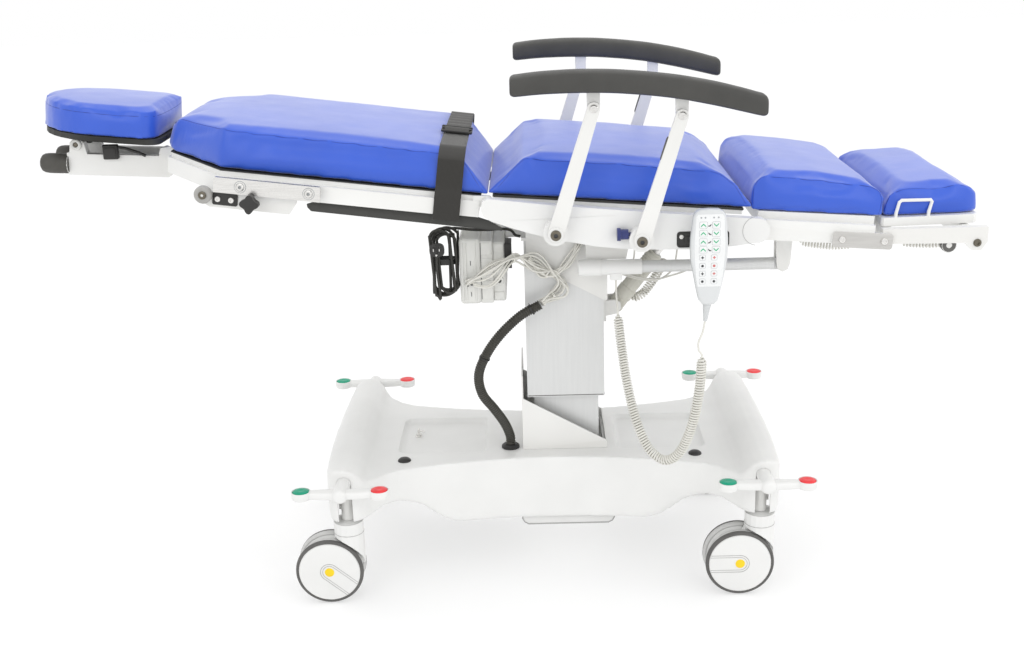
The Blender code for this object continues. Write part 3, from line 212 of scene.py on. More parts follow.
WHITE = (0.775, 0.775, 0.762)
M = {
    "white_plastic": material("white_moulding", WHITE, 0.34, vary=0.025, grain="noise", grain_scale=900, grain_depth=0.00012, grain_strength=0.25),
    "white_coat": material("white_powder_coat", (0.785, 0.785, 0.768), 0.36, vary=0.025, grain="noise", grain_scale=480, grain_depth=0.00022, grain_strength=0.3,
                           edge_tint=(0.70, 0.69, 0.66)),
    "anodised": material("anodised_aluminium", (0.66, 0.665, 0.66), 0.44, metal=0.45, vary=0.02, vary_scale=30, streak=(8.0, 8.0, 0.35), grain="noise", grain_scale=260,
                         grain_depth=0.00005, grain_strength=0.06),
    "steel": material("bright_steel", (0.74, 0.73, 0.71), 0.26, metal=1.0, vary=0.06, vary_scale=40, streak=(0.4, 9.0, 9.0), grain="noise", grain_scale=300,
                      grain_depth=0.00005, grain_strength=0.25),
    "bronze": material("dark_zinc", (0.16, 0.145, 0.115), 0.34, metal=0.9, vary=0.15, vary_scale=120, grain="noise", grain_scale=900, grain_depth=0.00005),
    "black_plastic": material("black_moulding", (0.022, 0.021, 0.020), 0.46, vary=0.2, grain="noise", grain_scale=1100, grain_depth=0.0001),
    "black_coat": material("black_powder_coat", (0.016, 0.016, 0.014), 0.55, spec=0.2, vary=0.2, grain="noise", grain_scale=520, grain_depth=0.0002, edge_tint=(0.10, 0.10, 0.095)),
    "rubber": material("grey_tyre", (0.105, 0.103, 0.098), 0.62, vary=0.15, vary_scale=25, grain="noise", grain_scale=700, grain_depth=0.0002),
    "pale_tread": material("pale_tread", (0.56, 0.56, 0.55), 0.6, vary=0.06, vary_scale=40, grain="noise", grain_scale=700, grain_depth=0.0002),
    "tread": material("grey_roller", (0.36, 0.355, 0.34), 0.5, vary=0.08, vary_scale=60, grain="noise", grain_scale=800, grain_depth=0.0001),
    "charcoal_pad": material("skinned_foam", (0.048, 0.047, 0.043), 0.52, vary=0.14, vary_scale=14, grain="cells", grain_scale=850, grain_depth=0.0002, grain_strength=0.3),
    "grip": material("grip_rubber", (0.060, 0.057, 0.050), 0.58, vary=0.12, vary_scale=30, grain="noise", grain_scale=900, grain_depth=0.00015),
    "navy_plastic": material("navy_moulding", (0.022, 0.032, 0.145), 0.36, vary=0.1, vary_scale=60, grain="noise", grain_scale=900, grain_depth=0.00006),
    "cream_plastic": material("off_white_moulding", (0.70, 0.70, 0.67), 0.38, vary=0.03, grain="noise", grain_scale=1000, grain_depth=0.0001),
    "cable": material("off_white_cable", (0.70, 0.69, 0.64), 0.42, vary=0.05, vary_scale=35, grain="noise", grain_scale=700, grain_depth=0.00008),
    "hose": material("corrugated_hose", (0.040, 0.038, 0.030), 0.40, vary=0.15, vary_scale=40, grain="noise", grain_scale=800, grain_depth=0.0001),
    "actuator": material("warm_grey_housing", (0.56, 0.55, 0.49), 0.40, vary=0.04, vary_scale=25, grain="noise", grain_scale=800, grain_depth=0.0001),
    "black_cable": material("black_cable", (0.026, 0.025, 0.021), 0.42, vary=0.2, vary_scale=40, grain="noise", grain_scale=800, grain_depth=0.0001),
    "handset": material("handset_shell", (0.65, 0.665, 0.67), 0.33, vary=0.02, grain="noise", grain_scale=1300, grain_depth=0.00006),
    "key": material("membrane_key", (0.78, 0.79, 0.79), 0.30, vary=0.02, vary_scale=60, grain="noise", grain_scale=1500, grain_depth=0.00003),
    "key_line": material("key_outline", (0.36, 0.38, 0.39), 0.4, vary=0.05, vary_scale=80),
    "key_dark": material("key_symbol", (0.045, 0.047, 0.05), 0.4, vary=0.1, vary_scale=80),
    "key_red": material("key_symbol_red", (0.58, 0.16, 0.15), 0.4, vary=0.1, vary_scale=80),
    "green": material("green_cap", (0.006, 0.330, 0.195), 0.34, vary=0.10, vary_scale=50, grain="noise", grain_scale=700, grain_depth=0.00006, spec=0.35),
    "red": material("red_cap", (0.82, 0.050, 0.058), 0.34, vary=0.08, vary_scale=50, grain="noise", grain_scale=700, grain_depth=0.00006, spec=0.35),
    "key_green": material("key_symbol_green", (0.02, 0.42, 0.19), 0.36, vary=0.06, vary_scale=80),
    "yellow": material("yellow_dot", (0.90, 0.63, 0.004), 0.34, vary=0.05, vary_scale=70, grain="noise", grain_scale=900, grain_depth=0.00005),
    "seal_line": material("dark_seal", (0.16, 0.16, 0.15), 0.55, vary=0.08, vary_scale=60, grain="noise", grain_scale=500, grain_depth=0.0001),
    # Grey for grooves and parting lines; round the underpan it is painted shadow.
    "grey_line": material("grey_groove_and_shadow_line", (0.42, 0.42, 0.41), 0.5, vary=0.06, vary_scale=60),
    "seam": material("seam_shadow", (0.014, 0.040, 0.30), 0.55, vary=0.15, vary_scale=90),
    "link_grey": material("satin_zinc", (0.56, 0.55, 0.53), 0.36, metal=0.75, vary=0.06, vary_scale=45, streak=(0.5, 8, 8), grain="noise", grain_scale=320, grain_depth=0.00006),
}


def vinyl():
    """Royal blue upholstery vinyl: fine leather grain, soft creasing and a low broad gloss."""
    mat = bpy.data.materials.new("blue_vinyl")
    mat.use_nodes = True
    nt = mat.node_tree
    n, link = nt.nodes, nt.links
    bsdf = n["Principled BSDF"]
    bsdf.inputs["Specular IOR Level"].default_value = 0.55
    bsdf.inputs["Sheen Weight"].default_value = 0.50
    bsdf.inputs["Sheen Roughness"].default_value = 0.40
    co = n.new("ShaderNodeTexCoord")
    tint = n.new("ShaderNodeTexNoise")
    tint.inputs["Scale"].default_value = 6.0
    tint.inputs["Detail"].default_value = 6.0
    link.new(co.outputs["Object"], tint.inputs["Vector"])
    ramp = n.new("ShaderNodeValToRGB")
    ramp.color_ramp.elements[0].position = 0.28
    ramp.color_ramp.elements[1].position = 0.74
    ramp.color_ramp.elements[0].color = (0.021, 0.086, 0.530, 1)
    ramp.color_ramp.elements[1].color = (0.027, 0.101, 0.595, 1)
    link.new(tint.outputs["Fac"], ramp.inputs["Fac"])
    link.new(ramp.outputs["Color"], bsdf.inputs["Base Color"])
    patch = n.new("ShaderNodeTexNoise")
    patch.inputs["Scale"].default_value = 18.0
    patch.inputs["Detail"].default_value = 5.0
    link.new(co.outputs["Object"], patch.inputs["Vector"])
    span = n.new("ShaderNodeMapRange")
    span.inputs["From Min"].default_value = 0.3
    span.inputs["From Max"].default_value = 0.7
    span.inputs["To Min"].default_value = 0.32
    span.inputs["To Max"].default_value = 0.42
    link.new(patch.outputs["Fac"], span.inputs["Value"])
    link.new(span.outputs["Result"], bsdf.inputs["Roughness"])
    cell = n.new("ShaderNodeTexVoronoi")
    cell.feature = "SMOOTH_F1"
    cell.inputs["Scale"].default_value = 780.0
    cell.inputs["Smoothness"].default_value = 0.4
    link.new(co.outputs["Object"], cell.inputs["Vector"])
    fine = n.new("ShaderNodeBump")
    fine.inputs["Strength"].default_value = 0.28
    fine.inputs["Distance"].default_value = 0.00025
    link.new(cell.outputs["Distance"], fine.inputs["Height"])
    fold = n.new("ShaderNodeTexNoise")
    fold.inputs["Scale"].default_value = 26.0
    fold.inputs["Detail"].default_value = 3.0
    fold.inputs["Distortion"].default_value = 0.6
    link.new(co.outputs["Object"], fold.inputs["Vector"])
    soft = n.new("ShaderNodeBump")
    soft.inputs["Strength"].default_value = 0.22
    soft.inputs["Distance"].default_value = 0.0016
    link.new(fold.outputs["Fac"], soft.inputs["Height"])
    link.new(fine.outputs["Normal"], soft.inputs["Normal"])
    link.new(soft.outputs["Normal"], bsdf.inputs["Normal"])
    return mat


M["blue_vinyl"] = vinyl()


def webbing():
    """Black seat-belt webbing: ribs along its length and a herringbone across, read from the strap's own coordinates."""
    mat = bpy.data.materials.new("black_webbing")
    mat.use_nodes = True
    nt = mat.node_tree
    n, link = nt.nodes, nt.links
    bsdf = n["Principled BSDF"]
    bsdf.inputs["Specular IOR Level"].default_value = 0.35
    bsdf.inputs["Sheen Weight"].default_value = 0.25
    uv = n.new("ShaderNodeTexCoord")
    ribs = n.new("ShaderNodeTexWave")
    ribs.bands_direction = "Y"
    ribs.inputs["Scale"].default_value = 130.0
    ribs.inputs["Distortion"].default_value = 0.3
    link.new(uv.outputs["UV"], ribs.inputs["Vector"])
    twill = n.new("ShaderNodeTexWave")
    twill.bands_direction = "DIAGONAL"
    twill.inputs["Scale"].default_value = 210.0
    twill.inputs["Distortion"].default_value = 0.2
    link.new(uv.outputs["UV"], twill.inputs["Vector"])
    mix = n.new("ShaderNodeMath")
    mix.operation = "ADD"
    link.new(ribs.outputs["Fac"], mix.inputs[0])
    link.new(twill.outputs["Fac"], mix.inputs[1])
    bump = n.new("ShaderNodeBump")
    bump.inputs["Strength"].default_value = 0.5
    bump.inputs["Distance"].default_value = 0.0004
    link.new(mix.outputs["Value"], bump.inputs["Height"])
    link.new(bump.outputs["Normal"], bsdf.inputs["Normal"])
    ramp = n.new("ShaderNodeValToRGB")
    ramp.color_ramp.elements[0].color = (0.016, 0.015, 0.013, 1)
    ramp.color_ramp.elements[1].color = (0.040, 0.038, 0.034, 1)
    half = n.new("ShaderNodeMath")
    half.operation = "MULTIPLY"
    half.inputs[1].default_value = 0.5
    link.new(mix.outputs["Value"], half.inputs[0])
    link.new(half.outputs["Value"], ramp.inputs["Fac"])
    link.new(ramp.outputs["Color"], bsdf.inputs["Base Color"])
    rough = n.new("ShaderNodeMapRange")
    rough.inputs["To Min"].default_value = 0.66
    rough.inputs["To Max"].default_value = 0.82
    link.new(half.outputs["Value"], rough.inputs["Value"])
    link.new(rough.outputs["Result"], bsdf.inputs["Roughness"])
    return mat


M["webbing"] = webbing()


# ---------------------------------------------------------------- shape helpers
def piece(name, mesh, mat, body=None, angle=35.0):
    """Puts a mesh in the scene with a material, shades it and sets the body it rides on."""
    obj = bpy.data.objects.new(name, mesh)
    mesh.name = name
    bpy.context.scene.collection.objects.link(obj)
    if mat is not None:
        mesh.materials.clear()
        mesh.materials.append(M[mat])
    mesh.shade_smooth()
    if angle < 179:
        mesh.set_sharp_from_angle(angle=math.radians(angle))
    if body:
        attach(obj, body)
    return obj


def to_mesh(name, bm, matrix=None):
    if matrix is not None:
        bmesh.ops.transform(bm, matrix=matrix, verts=bm.verts)
    bmesh.ops.recalc_face_normals(bm, faces=bm.faces)
    mesh = bpy.data.meshes.new(name)
    bm.to_mesh(mesh)
    bm.free()
    return mesh


class Batch:
    """Small pieces of one material on one body, gathered in one mesh."""

    def __init__(self, name, body, mat, angle=35.0):
        self.name, self.body, self.mat, self.angle = name, body, mat, angle
        self.bm = bmesh.new()

    def add(self, bm, matrix=None):
        if matrix is not None:
            bmesh.ops.transform(bm, matrix=matrix, verts=bm.verts)
        mesh = bpy.data.meshes.new("part")
        bm.to_mesh(mesh)
        bm.free()
        self.bm.from_mesh(mesh)
        bpy.data.meshes.remove(mesh)

    def turned(self, profile, centre, axis, steps=28):
        self.add(lathe(profile, steps), axis_matrix(centre, axis))

    def box(self, lo, hi, matrix=None, bevel=0.0008, segments=2):
        self.add(bevelled_box(lo, hi, bevel, segments), matrix)

    def plate(self, outline, low, high, plane="xz", matrix=None, bevel=0.001, holes=(), res=2):
        mesh = plate(outline, low, high, plane, bevel, holes, res)
        bm = bmesh.new()
        bm.from_mesh(mesh)
        bpy.data.meshes.remove(mesh)
        self.add(bm, matrix)

    def tube(self, points, radius, sides=10):
        self.add(sweep(points, radius, sides))

    def done(self, *nodes):
        obj = piece(self.name, to_mesh(self.name, self.bm), self.mat, self.body, self.angle)
        if nodes:
            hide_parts(*nodes)
        return obj


def axis_matrix(centre, axis):
    """Turns +Z to the axis and moves the origin to the centre."""
    return Matrix.Translation(Vector(centre)) @ Vector(axis).to_track_quat("Z", "Y").to_matrix().to_4x4()


def lathe(profile, steps=28):
    """A turned solid round Z from (radius, height) pairs; radius 0 closes an end."""
    bm = bmesh.new()
    rings = []
    for r, h in profile:
        if r < 1e-7:
            rings.append([bm.verts.new((0, 0, h))])
        else:
            rings.append([bm.verts.new((r * math.cos(2 * math.pi * i / steps), r * math.sin(2 * math.pi * i / steps), h)) for i in range(steps)])
    for a, b in zip(rings, rings[1:]):
        for i in range(steps):
            j = (i + 1) % steps
            if len(a) == 1 and len(b) == 1:
                continue
            if len(a) == 1:
                bm.faces.new((a[0], b[i], b[j]))
            elif len(b) == 1:
                bm.faces.new((a[i], b[0], a[j]))
            else:
                bm.faces.new((a[i], b[i], b[j], a[j]))
    bmesh.ops.recalc_face_normals(bm, faces=bm.faces)
    return bm


def bevelled_box(lo, hi, bevel=0.001, segments=2):
    bm = bmesh.new()
    bmesh.ops.create_cube(bm, size=1.0)
    lo, hi = Vector(lo), Vector(hi)
    bmesh.ops.scale(bm, vec=hi - lo, verts=bm.verts)
    bmesh.ops.translate(bm, vec=(lo + hi) / 2, verts=bm.verts)
    if bevel > 0:
        bmesh.ops.bevel(bm, geom=bm.edges[:], offset=bevel, segments=segments, profile=0.5, affect="EDGES")
    return bm


PLANES = {
    "xy": Matrix.Identity(4),
    "xz": Matrix.Rotation(math.radians(90), 4, "X"),
    "yz": Matrix(((0, 0, 1, 0), (1, 0, 0, 0), (0, 1, 0, 0), (0, 0, 0, 1))),
}


def plate(outline, low, high, plane="xz", bevel=0.001, holes=(), res=2):
    """A flat outline with rounded edges, thickened from low to high, as a mesh."""
    curve = bpy.data.curves.new("plate", "CURVE")
    curve.dimensions = "2D"
    curve.fill_mode = "BOTH"
    curve.extrude = max((high - low) / 2 - bevel, 1e-5)
    curve.bevel_depth = bevel
    curve.bevel_resolution = res
    curve.offset = -bevel
    for line in [outline, *holes]:
        spline = curve.splines.new("POLY")
        spline.points.add(len(line) - 1)
        for point, (u, v) in zip(spline.points, line):
            point.co = (u, v, 0, 1)
        spline.use_cyclic_u = True
    middle = (low + high) / 2
    shift = {"xy": (0, 0, middle), "xz": (0, middle, 0), "yz": (middle, 0, 0)}[plane]
    obj = bpy.data.objects.new("plate", curve)
    bpy.context.scene.collection.objects.link(obj)
    graph = bpy.context.evaluated_depsgraph_get()
    graph.update()
    mesh = bpy.data.meshes.new_from_object(obj.evaluated_get(graph))
    bpy.data.objects.remove(obj, do_unlink=True)
    bpy.data.curves.remove(curve)
    bm = bmesh.new()
    bm.from_mesh(mesh)
    bpy.data.meshes.remove(mesh)
    bmesh.ops.remove_doubles(bm, verts=bm.verts, dist=1e-6)
    bmesh.ops.transform(bm, matrix=Matrix.Translation(shift) @ PLANES[plane], verts=bm.verts)
    return to_mesh("plate", bm)


def sweep(points, radius, sides=10, caps=True, up=None):
    """A round tube along points; the radius may be one number or one per point."""
    pts = [Vector(p) for p in points]
    radii = radius if hasattr(radius, "__len__") else [radius] * len(pts)
    bm = bmesh.new()
    tangent = (pts[1] - pts[0]).normalized()
    ref = Vector((0, 0, 1)) if abs(tangent.z) < 0.9 else Vector((1, 0, 0))
    normal = tangent.cross(ref).normalized()
    rings = []
    for i, p in enumerate(pts):
        t = (pts[min(i + 1, len(pts) - 1)] - pts[max(i - 1, 0)]).normalized()
        normal = (normal - t * normal.dot(t)).normalized()
        side = t.cross(normal)
        rings.append([bm.verts.new(p + radii[i] * (math.cos(2 * math.pi * k / sides) * normal + math.sin(2 * math.pi * k / sides) * side)) for k in range(sides)])
    for a, b in zip(rings, rings[1:]):
        for k in range(sides):
            j = (k + 1) % sides
            bm.faces.new((a[k], a[j], b[j], b[k]))
    if caps:
        bm.faces.new(list(reversed(rings[0])))
        bm.faces.new(rings[-1])
    bmesh.ops.recalc_face_normals(bm, faces=bm.faces)
    return bm


def loft(rings, closed_ends=True):
    """Skins rings of equal point count."""
    bm = bmesh.new()
    rows = [[bm.verts.new(p) for p in ring] for ring in rings]
    n = len(rows[0])
    for a, b in zip(rows, rows[1:]):
        for k in range(n):
            j = (k + 1) % n
            bm.faces.new((a[k], a[j], b[j], b[k]))
    if closed_ends:
        bm.faces.new(list(reversed(rows[0])))
        bm.faces.new(rows[-1])
    bmesh.ops.recalc_face_normals(bm, faces=bm.faces)
    return bm


def arc(cx, cy, r, a0, a1, n):
    return [(cx + r * math.cos(math.radians(a0 + (a1 - a0) * i / n)), cy + r * math.sin(math.radians(a0 + (a1 - a0) * i / n))) for i in range(n + 1)]


def capsule(p0, r0, p1, r1, n=12):
    ang = math.degrees(math.atan2(p1[1] - p0[1], p1[0] - p0[0]))
    return arc(p0[0], p0[1], r0, ang + 90, ang + 270, n) + arc(p1[0], p1[1], r1, ang - 90, ang + 90, n)


def rounded(x0, x1, y0, y1, r, n=6):
    return (arc(x1 - r, y1 - r, r, 0, 90, n) + arc(x0 + r, y1 - r, r, 90, 180, n) + arc(x0 + r, y0 + r, r, 180, 270, n) + arc(x1 - r, y0 + r, r, 270, 360, n))


def smooth(points, count=None, spacing=None):
    """Points evenly read from a smooth line through the given ones."""
    pts = [Vector(p) for p in points]
    ends = [2 * pts[0] - pts[1]] + pts + [2 * pts[-1] - pts[-2]]
    dense = []
    for i in range(1, len(ends) - 2):
        p0, p1, p2, p3 = ends[i - 1:i + 3]
        for k in range(24):
            t = k / 24
            dense.append(0.5 * ((2 * p1) + (p2 - p0) * t + (2 * p0 - 5 * p1 + 4 * p2 - p3) * t * t + (3 * p1 - p0 - 3 * p2 + p3) * t ** 3))
    dense.append(pts[-1])
    length = [0.0]
    for a, b in zip(dense, dense[1:]):
        length.append(length[-1] + (b - a).length)
    if count is None:
        count = max(int(length[-1] / spacing), 2) + 1
    out, j = [], 0
    for i in range(count):
        want = length[-1] * i / (count - 1)
        while j < len(dense) - 2 and length[j + 1] < want:
            j += 1
        span = length[j + 1] - length[j]
        out.append(dense[j].lerp(dense[j + 1], 0 if span == 0 else (want - length[j]) / span))
    return out


def path_length(points):
    return sum((Vector(b) - Vector(a)).length for a, b in zip(points, points[1:]))


def boolean(obj, other, operation="DIFFERENCE", solver="EXACT"):
    mod = obj.modifiers.new("shape", "BOOLEAN")
    mod.operation = operation
    mod.solver = solver
    mod.object = other
    graph = bpy.context.evaluated_depsgraph_get()
    graph.update()
    mesh = bpy.data.meshes.new_from_object(obj.evaluated_get(graph))
    obj.modifiers.clear()
    obj.data = mesh
    bpy.data.objects.remove(other, do_unlink=True)
    return obj


def loose(name, mesh):
    obj = bpy.data.objects.new(name, mesh)
    bpy.context.scene.collection.objects.link(obj)
    return obj


def finish_node(name, mat, bevel=0.001, segments=2):
    """A CAD node that stays: its edges are broken and it gets its surface."""
    obj = NODES[name]
    flat = obj.modifiers.new("flat", "DECIMATE")
    flat.decimate_type = "DISSOLVE"
    flat.angle_limit = math.radians(0.6)
    if bevel:
        mod = obj.modifiers.new("edge", "BEVEL")
        mod.width = bevel
        mod.segments = segments
        mod.limit_method = "ANGLE"
        mod.angle_limit = math.radians(32)
        mod.harden_normals = False
        mod.use_clamp_overlap = True
    obj.data.materials.clear()
    obj.data.materials.append(M[mat])
    obj.data.shade_smooth()
    obj.data.set_sharp_from_angle(angle=math.radians(40))
    return obj


# ---------------------------------------------------------------- cords
TAIL = [(0.3844, -0.3335, 0.6475), (0.3800, -0.3350, 0.6250), (0.3715, -0.3370, 0.6030), (0.3720, -0.3385, 0.5860)]
COIL = [(0.3790, -0.3390, 0.5760), (0.3745, -0.3390, 0.5020), (0.3610, -0.3350, 0.4220), (0.3380, -0.3240, 0.3580),
        (0.3070, -0.3080, 0.3330), (0.2740, -0.2870, 0.3540), (0.2500, -0.2620, 0.4100), (0.2340, -0.2330, 0.4800),
        (0.2240, -0.2050, 0.5550), (0.2190, -0.1900, 0.6050), (0.2180, -0.1840, 0.6230)]
STEM = [(0.2160, -0.1565, 0.6898), (0.2160, -0.1566, 0.6760), (0.2162, -0.1640, 0.6560), (0.2175, -0.1760, 0.6380), (0.2180, -0.1840, 0.6230)]


def helix(path, radius, pitch, per_turn, lead_in=0.016, lead_out=0.016):
    """Points of a coil wound round a path; its radius grows from nothing at both ends."""
    pts = smooth(path, spacing=pitch / per_turn)
    total = path_length(pts)
    t0 = (pts[1] - pts[0]).normalized()
    normal = t0.cross(Vector((0, 1, 0.2))).normalized()
    out, run = [], 0.0
    for i, p in enumerate(pts):
        if i:
            run += (p - pts[i - 1]).length
        t = (pts[min(i + 1, len(pts) - 1)] - pts[max(i - 1, 0)]).normalized()
        normal = (normal - t * normal.dot(t)).normalized()
        side = t.cross(normal)
        ramp = min(1.0, run / lead_in, (total - run) / lead_out)
        ramp = ramp * ramp * (3 - 2 * ramp)
        a = 2 * math.pi * run / pitch
        out.append(p + radius * ramp * (math.cos(a) * normal + math.sin(a) * side))
    return out


def handset_cord():
    coil = helix([W(*p) for p in reversed(COIL)], 0.0087, 0.0057, 16)
    tail = smooth([W(*p) for p in reversed(TAIL)], spacing=0.004)
    join = smooth([coil[-1], (coil[-1] + tail[0]) / 2 + Vector((0.0008, 0, 0)), tail[0]], count=4)
    stem = smooth([W(*p) for p in STEM], spacing=0.004)
    pts = stem[:-1] + coil[:-1] + join[:-1] + tail
    obj = piece("handset_lead", to_mesh("handset_lead", sweep(pts, 0.0021, 8)), "cable", None, 60)
    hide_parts("handset_cord")
    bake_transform(obj)
    return obj, pts


LEAD, LEAD_PATH = handset_cord()

CONDUIT = [(0.0520, -0.1300, 0.6300), (0.0080, -0.1320, 0.6060), (-0.0370, -0.1330, 0.5640), (-0.0700, -0.1310, 0.5170),
           (-0.0880, -0.1260, 0.4690), (-0.0820, -0.1180, 0.4210), (-0.0570, -0.1060, 0.3800), (-0.0350, -0.0930, 0.3400),
           (-0.0235, -0.0853, 0.3060), (-0.023, -0.085, 0.2872)]


def conduit():
    pts = smooth([W(*p) for p in reversed(CONDUIT)], spacing=0.0013)
    radii = []
    for i in range(len(pts)):
        k = i % 4
        radii.append(0.0110 if k in (0, 1) else 0.0096)
    obj = piece("conduit_hose", to_mesh("conduit_hose", sweep(pts, radii, 20)), "hose", None, 30)
    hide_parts("cable_conduit")
    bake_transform(obj)
    return obj


conduit()


def mains_route():
    """The mains lead: out of the column head, over the control box, then wound in a hank, drawn in at its tie, that hangs beside it."""
    lead = [(0.0124, -0.0672, 0.7690), (0.0015, -0.0680, 0.7725), (-0.0075, -0.0695, 0.7835), (-0.0220, -0.0730, 0.7880), (-0.0420, -0.0800, 0.7895),
            (-0.0620, -0.0850, 0.7900), (-0.0900, -0.0872, 0.7915), (-0.1150, -0.0866, 0.7945), (-0.1360, -0.0850, 0.7955)]
    pts = [W(*p) for p in lead]
    back, pitch, end = -0.0850, 0.0064, 6.40
    steps = int(end * 26)
    for i in range(3, steps + 1):
        k = end * i / steps
        a = math.radians(90) + 2 * math.pi * k
        lean = min(1.0, k / 0.5)
        cx = -0.1530 + lean * (0.0080 * math.sin(2.75 * k + 0.6) + 0.0030 * math.sin(1.3 * k))
        r = 0.0206 + 0.0016 * math.sin(2.1 * k)
        high = 0.7745 + lean * 0.0055 * math.sin(2.3 * k + 0.4)
        deep = 0.6750 - lean * 0.0080 * math.sin(2.9 * k + 2.4)
        z = (high if math.sin(a) >= 0 else deep) + r * math.sin(a)
        h = (z - 0.72) / 0.07
        waist = 0.36 + 0.64 * min(1.0, ((z - 0.7265) / 0.050) ** 2)
        pts.append(W(cx + r * waist * math.cos(a) + 0.0040 * h * math.sin(1.9 * k) - 0.0020 * h, back - pitch * k, z))
    tip = pts[-1]
    pts += [tip.lerp(W(-0.1660, -0.1275, 0.7660), 0.55) + Vector((-0.004, 0, 0.006)), W(-0.1664, -0.1268, 0.7660), W(-0.1660, -0.1290, 0.7643)]
    return smooth(pts, spacing=0.0030)


def plug():
    """A moulded three-pin plug with a ribbed grip."""
    rings = []
    for y, w, h in ((-0.1284, 0.0062, 0.0062), (-0.1290, 0.0075, 0.0075), (-0.1330, 0.0100, 0.0095), (-0.1345, 0.0092, 0.0088), (-0.1360, 0.0112, 0.0105), (-0.1375, 0.0102, 0.0096),
                    (-0.1390, 0.0124, 0.0116), (-0.1410, 0.0142, 0.0132), (-0.1480, 0.0160, 0.0150), (-0.1522, 0.0163, 0.0154), (-0.1530, 0.0155, 0.0146)):
        ring = []
        for k in range(24):
            a = 2 * math.pi * k / 24
            c, s = math.cos(a), math.sin(a)
            e = 0.72
            ring.append(W(-0.1660 + w * math.copysign(abs(c) ** e, c), y, 0.7640 + h * math.copysign(abs(s) ** e, s)))
        rings.append(ring)
    return piece("plug_body", to_mesh("plug_body", loft(rings)), "black_plastic", "lift", 50)


FLEX_PATH = mains_route()
FLEX = piece("mains_flex", to_mesh("mains_flex", sweep(FLEX_PATH, 0.0031, 10)), "black_cable", "lift", 60)
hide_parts("mains_lead")
PLUG = plug()
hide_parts("mains_plug")
pins = Batch("plug_pins", "lift", "steel")
for dx in (-0.0063, 0.0063):
    pins.box(W(-0.1660 + dx - 0.0008, -0.1695, 0.7640 + 0.001), W(-0.1660 + dx + 0.0008, -0.1525, 0.7640 + 0.0072), bevel=0.0004, segments=1)
pins.turned([(0, 0.0195), (0.0014, 0.0195), (0.0024, 0.0180), (0.0024, 0.0), (0, 0.0)], W(-0.1660, -0.1525, 0.7570), (0, -1, 0), 14)
PINS = pins.done()
PINS.parent = PLUG
PINS.matrix_parent_inverse = PLUG.matrix_world.inverted()
tie = Batch("hank_tie", "lift", "black_plastic")
ring = []
for k in range(28):
    a = 2 * math.pi * k / 28
    c, s = math.cos(a), math.sin(a)
    ring.append(W(-0.1545 + 0.0225 * math.copysign(abs(c) ** 0.55, c), -0.0972 + 0.0178 * math.copysign(abs(s) ** 0.55, s), 0))
rows = []
for dz, grow in ((-0.0060, 0.0), (-0.0060, 0.0012), (0.0060, 0.0012), (0.0060, 0.0)):
    rows.append([Vector((p.x + (p.x - (-0.1545 + S)) / 0.0225 * grow, p.y + (p.y + 0.0972) / 0.0178 * grow, 0.7265 + dz)) for p in ring])
tie.add(loft(rows + [rows[0]], closed_ends=False))
tie.done()

BUNDLE = [(-0.1000, -0.1312, 0.6870), (-0.0985, -0.1420, 0.6885), (-0.0930, -0.1490, 0.6960), (-0.0600, -0.1480, 0.7220),
          (-0.0280, -0.1440, 0.7370), (0.0000, -0.1350, 0.7400), (0.0280, -0.1180, 0.7320), (0.0600, -0.1095, 0.7120), (0.0880, -0.1090, 0.6920),
          (0.0990, -0.1090, 0.6720), (0.0900, -0.1100, 0.6540), (0.0720, -0.1180, 0.6440), (0.0545, -0.1290, 0.6325)]
BRANCH = [(0.0280, -0.1180, 0.7320), (0.0560, -0.1090, 0.7000), (0.0760, -0.1085, 0.6900), (0.0960, -0.1085, 0.7000), (0.1140, -0.1090, 0.7180), (0.1280, -0.1120, 0.7400),
          (0.1380, -0.1120, 0.7560), (0.1420, -0.1060, 0.7625), (0.1420, -0.0964, 0.7632)]


def strand(name, line, offset, sags, marks, twist=1.2):
    """One cable of the bundle: held close at the marks along the line and hanging free, by its own amounts, between them."""
    pts = smooth([W(*p) for p in line], spacing=0.004)
    n = len(pts)
    out = []
    normal = (pts[1] - pts[0]).normalized().cross(Vector((0, 1, 0.3))).normalized()
    for i, p in enumerate(pts):
        u = i / (n - 1)
        t = (pts[min(i + 1, n - 1)] - pts[max(i - 1, 0)]).normalized()
        normal = (normal - t * normal.dot(t)).normalized()
        side = t.cross(normal)
        a = math.atan2(offset[1], offset[0]) + twist * u
        q = p + math.hypot(*offset) * (math.cos(a) * normal + math.sin(a) * side)
        for (u0, u1, way), sag in zip(marks, sags):
            if u0 < u < u1:
                q += Vector(way) * sag * math.sin(math.pi * (u - u0) / (u1 - u0)) ** 1.4
        out.append(q)
    out = smooth(out[::3] + [out[-1]] if (n - 1) % 3 else out[::3], spacing=0.004)
    obj = piece(name, to_mesh(name, sweep(out, 0.0023, 8)), "cable", "lift", 60)
    return obj


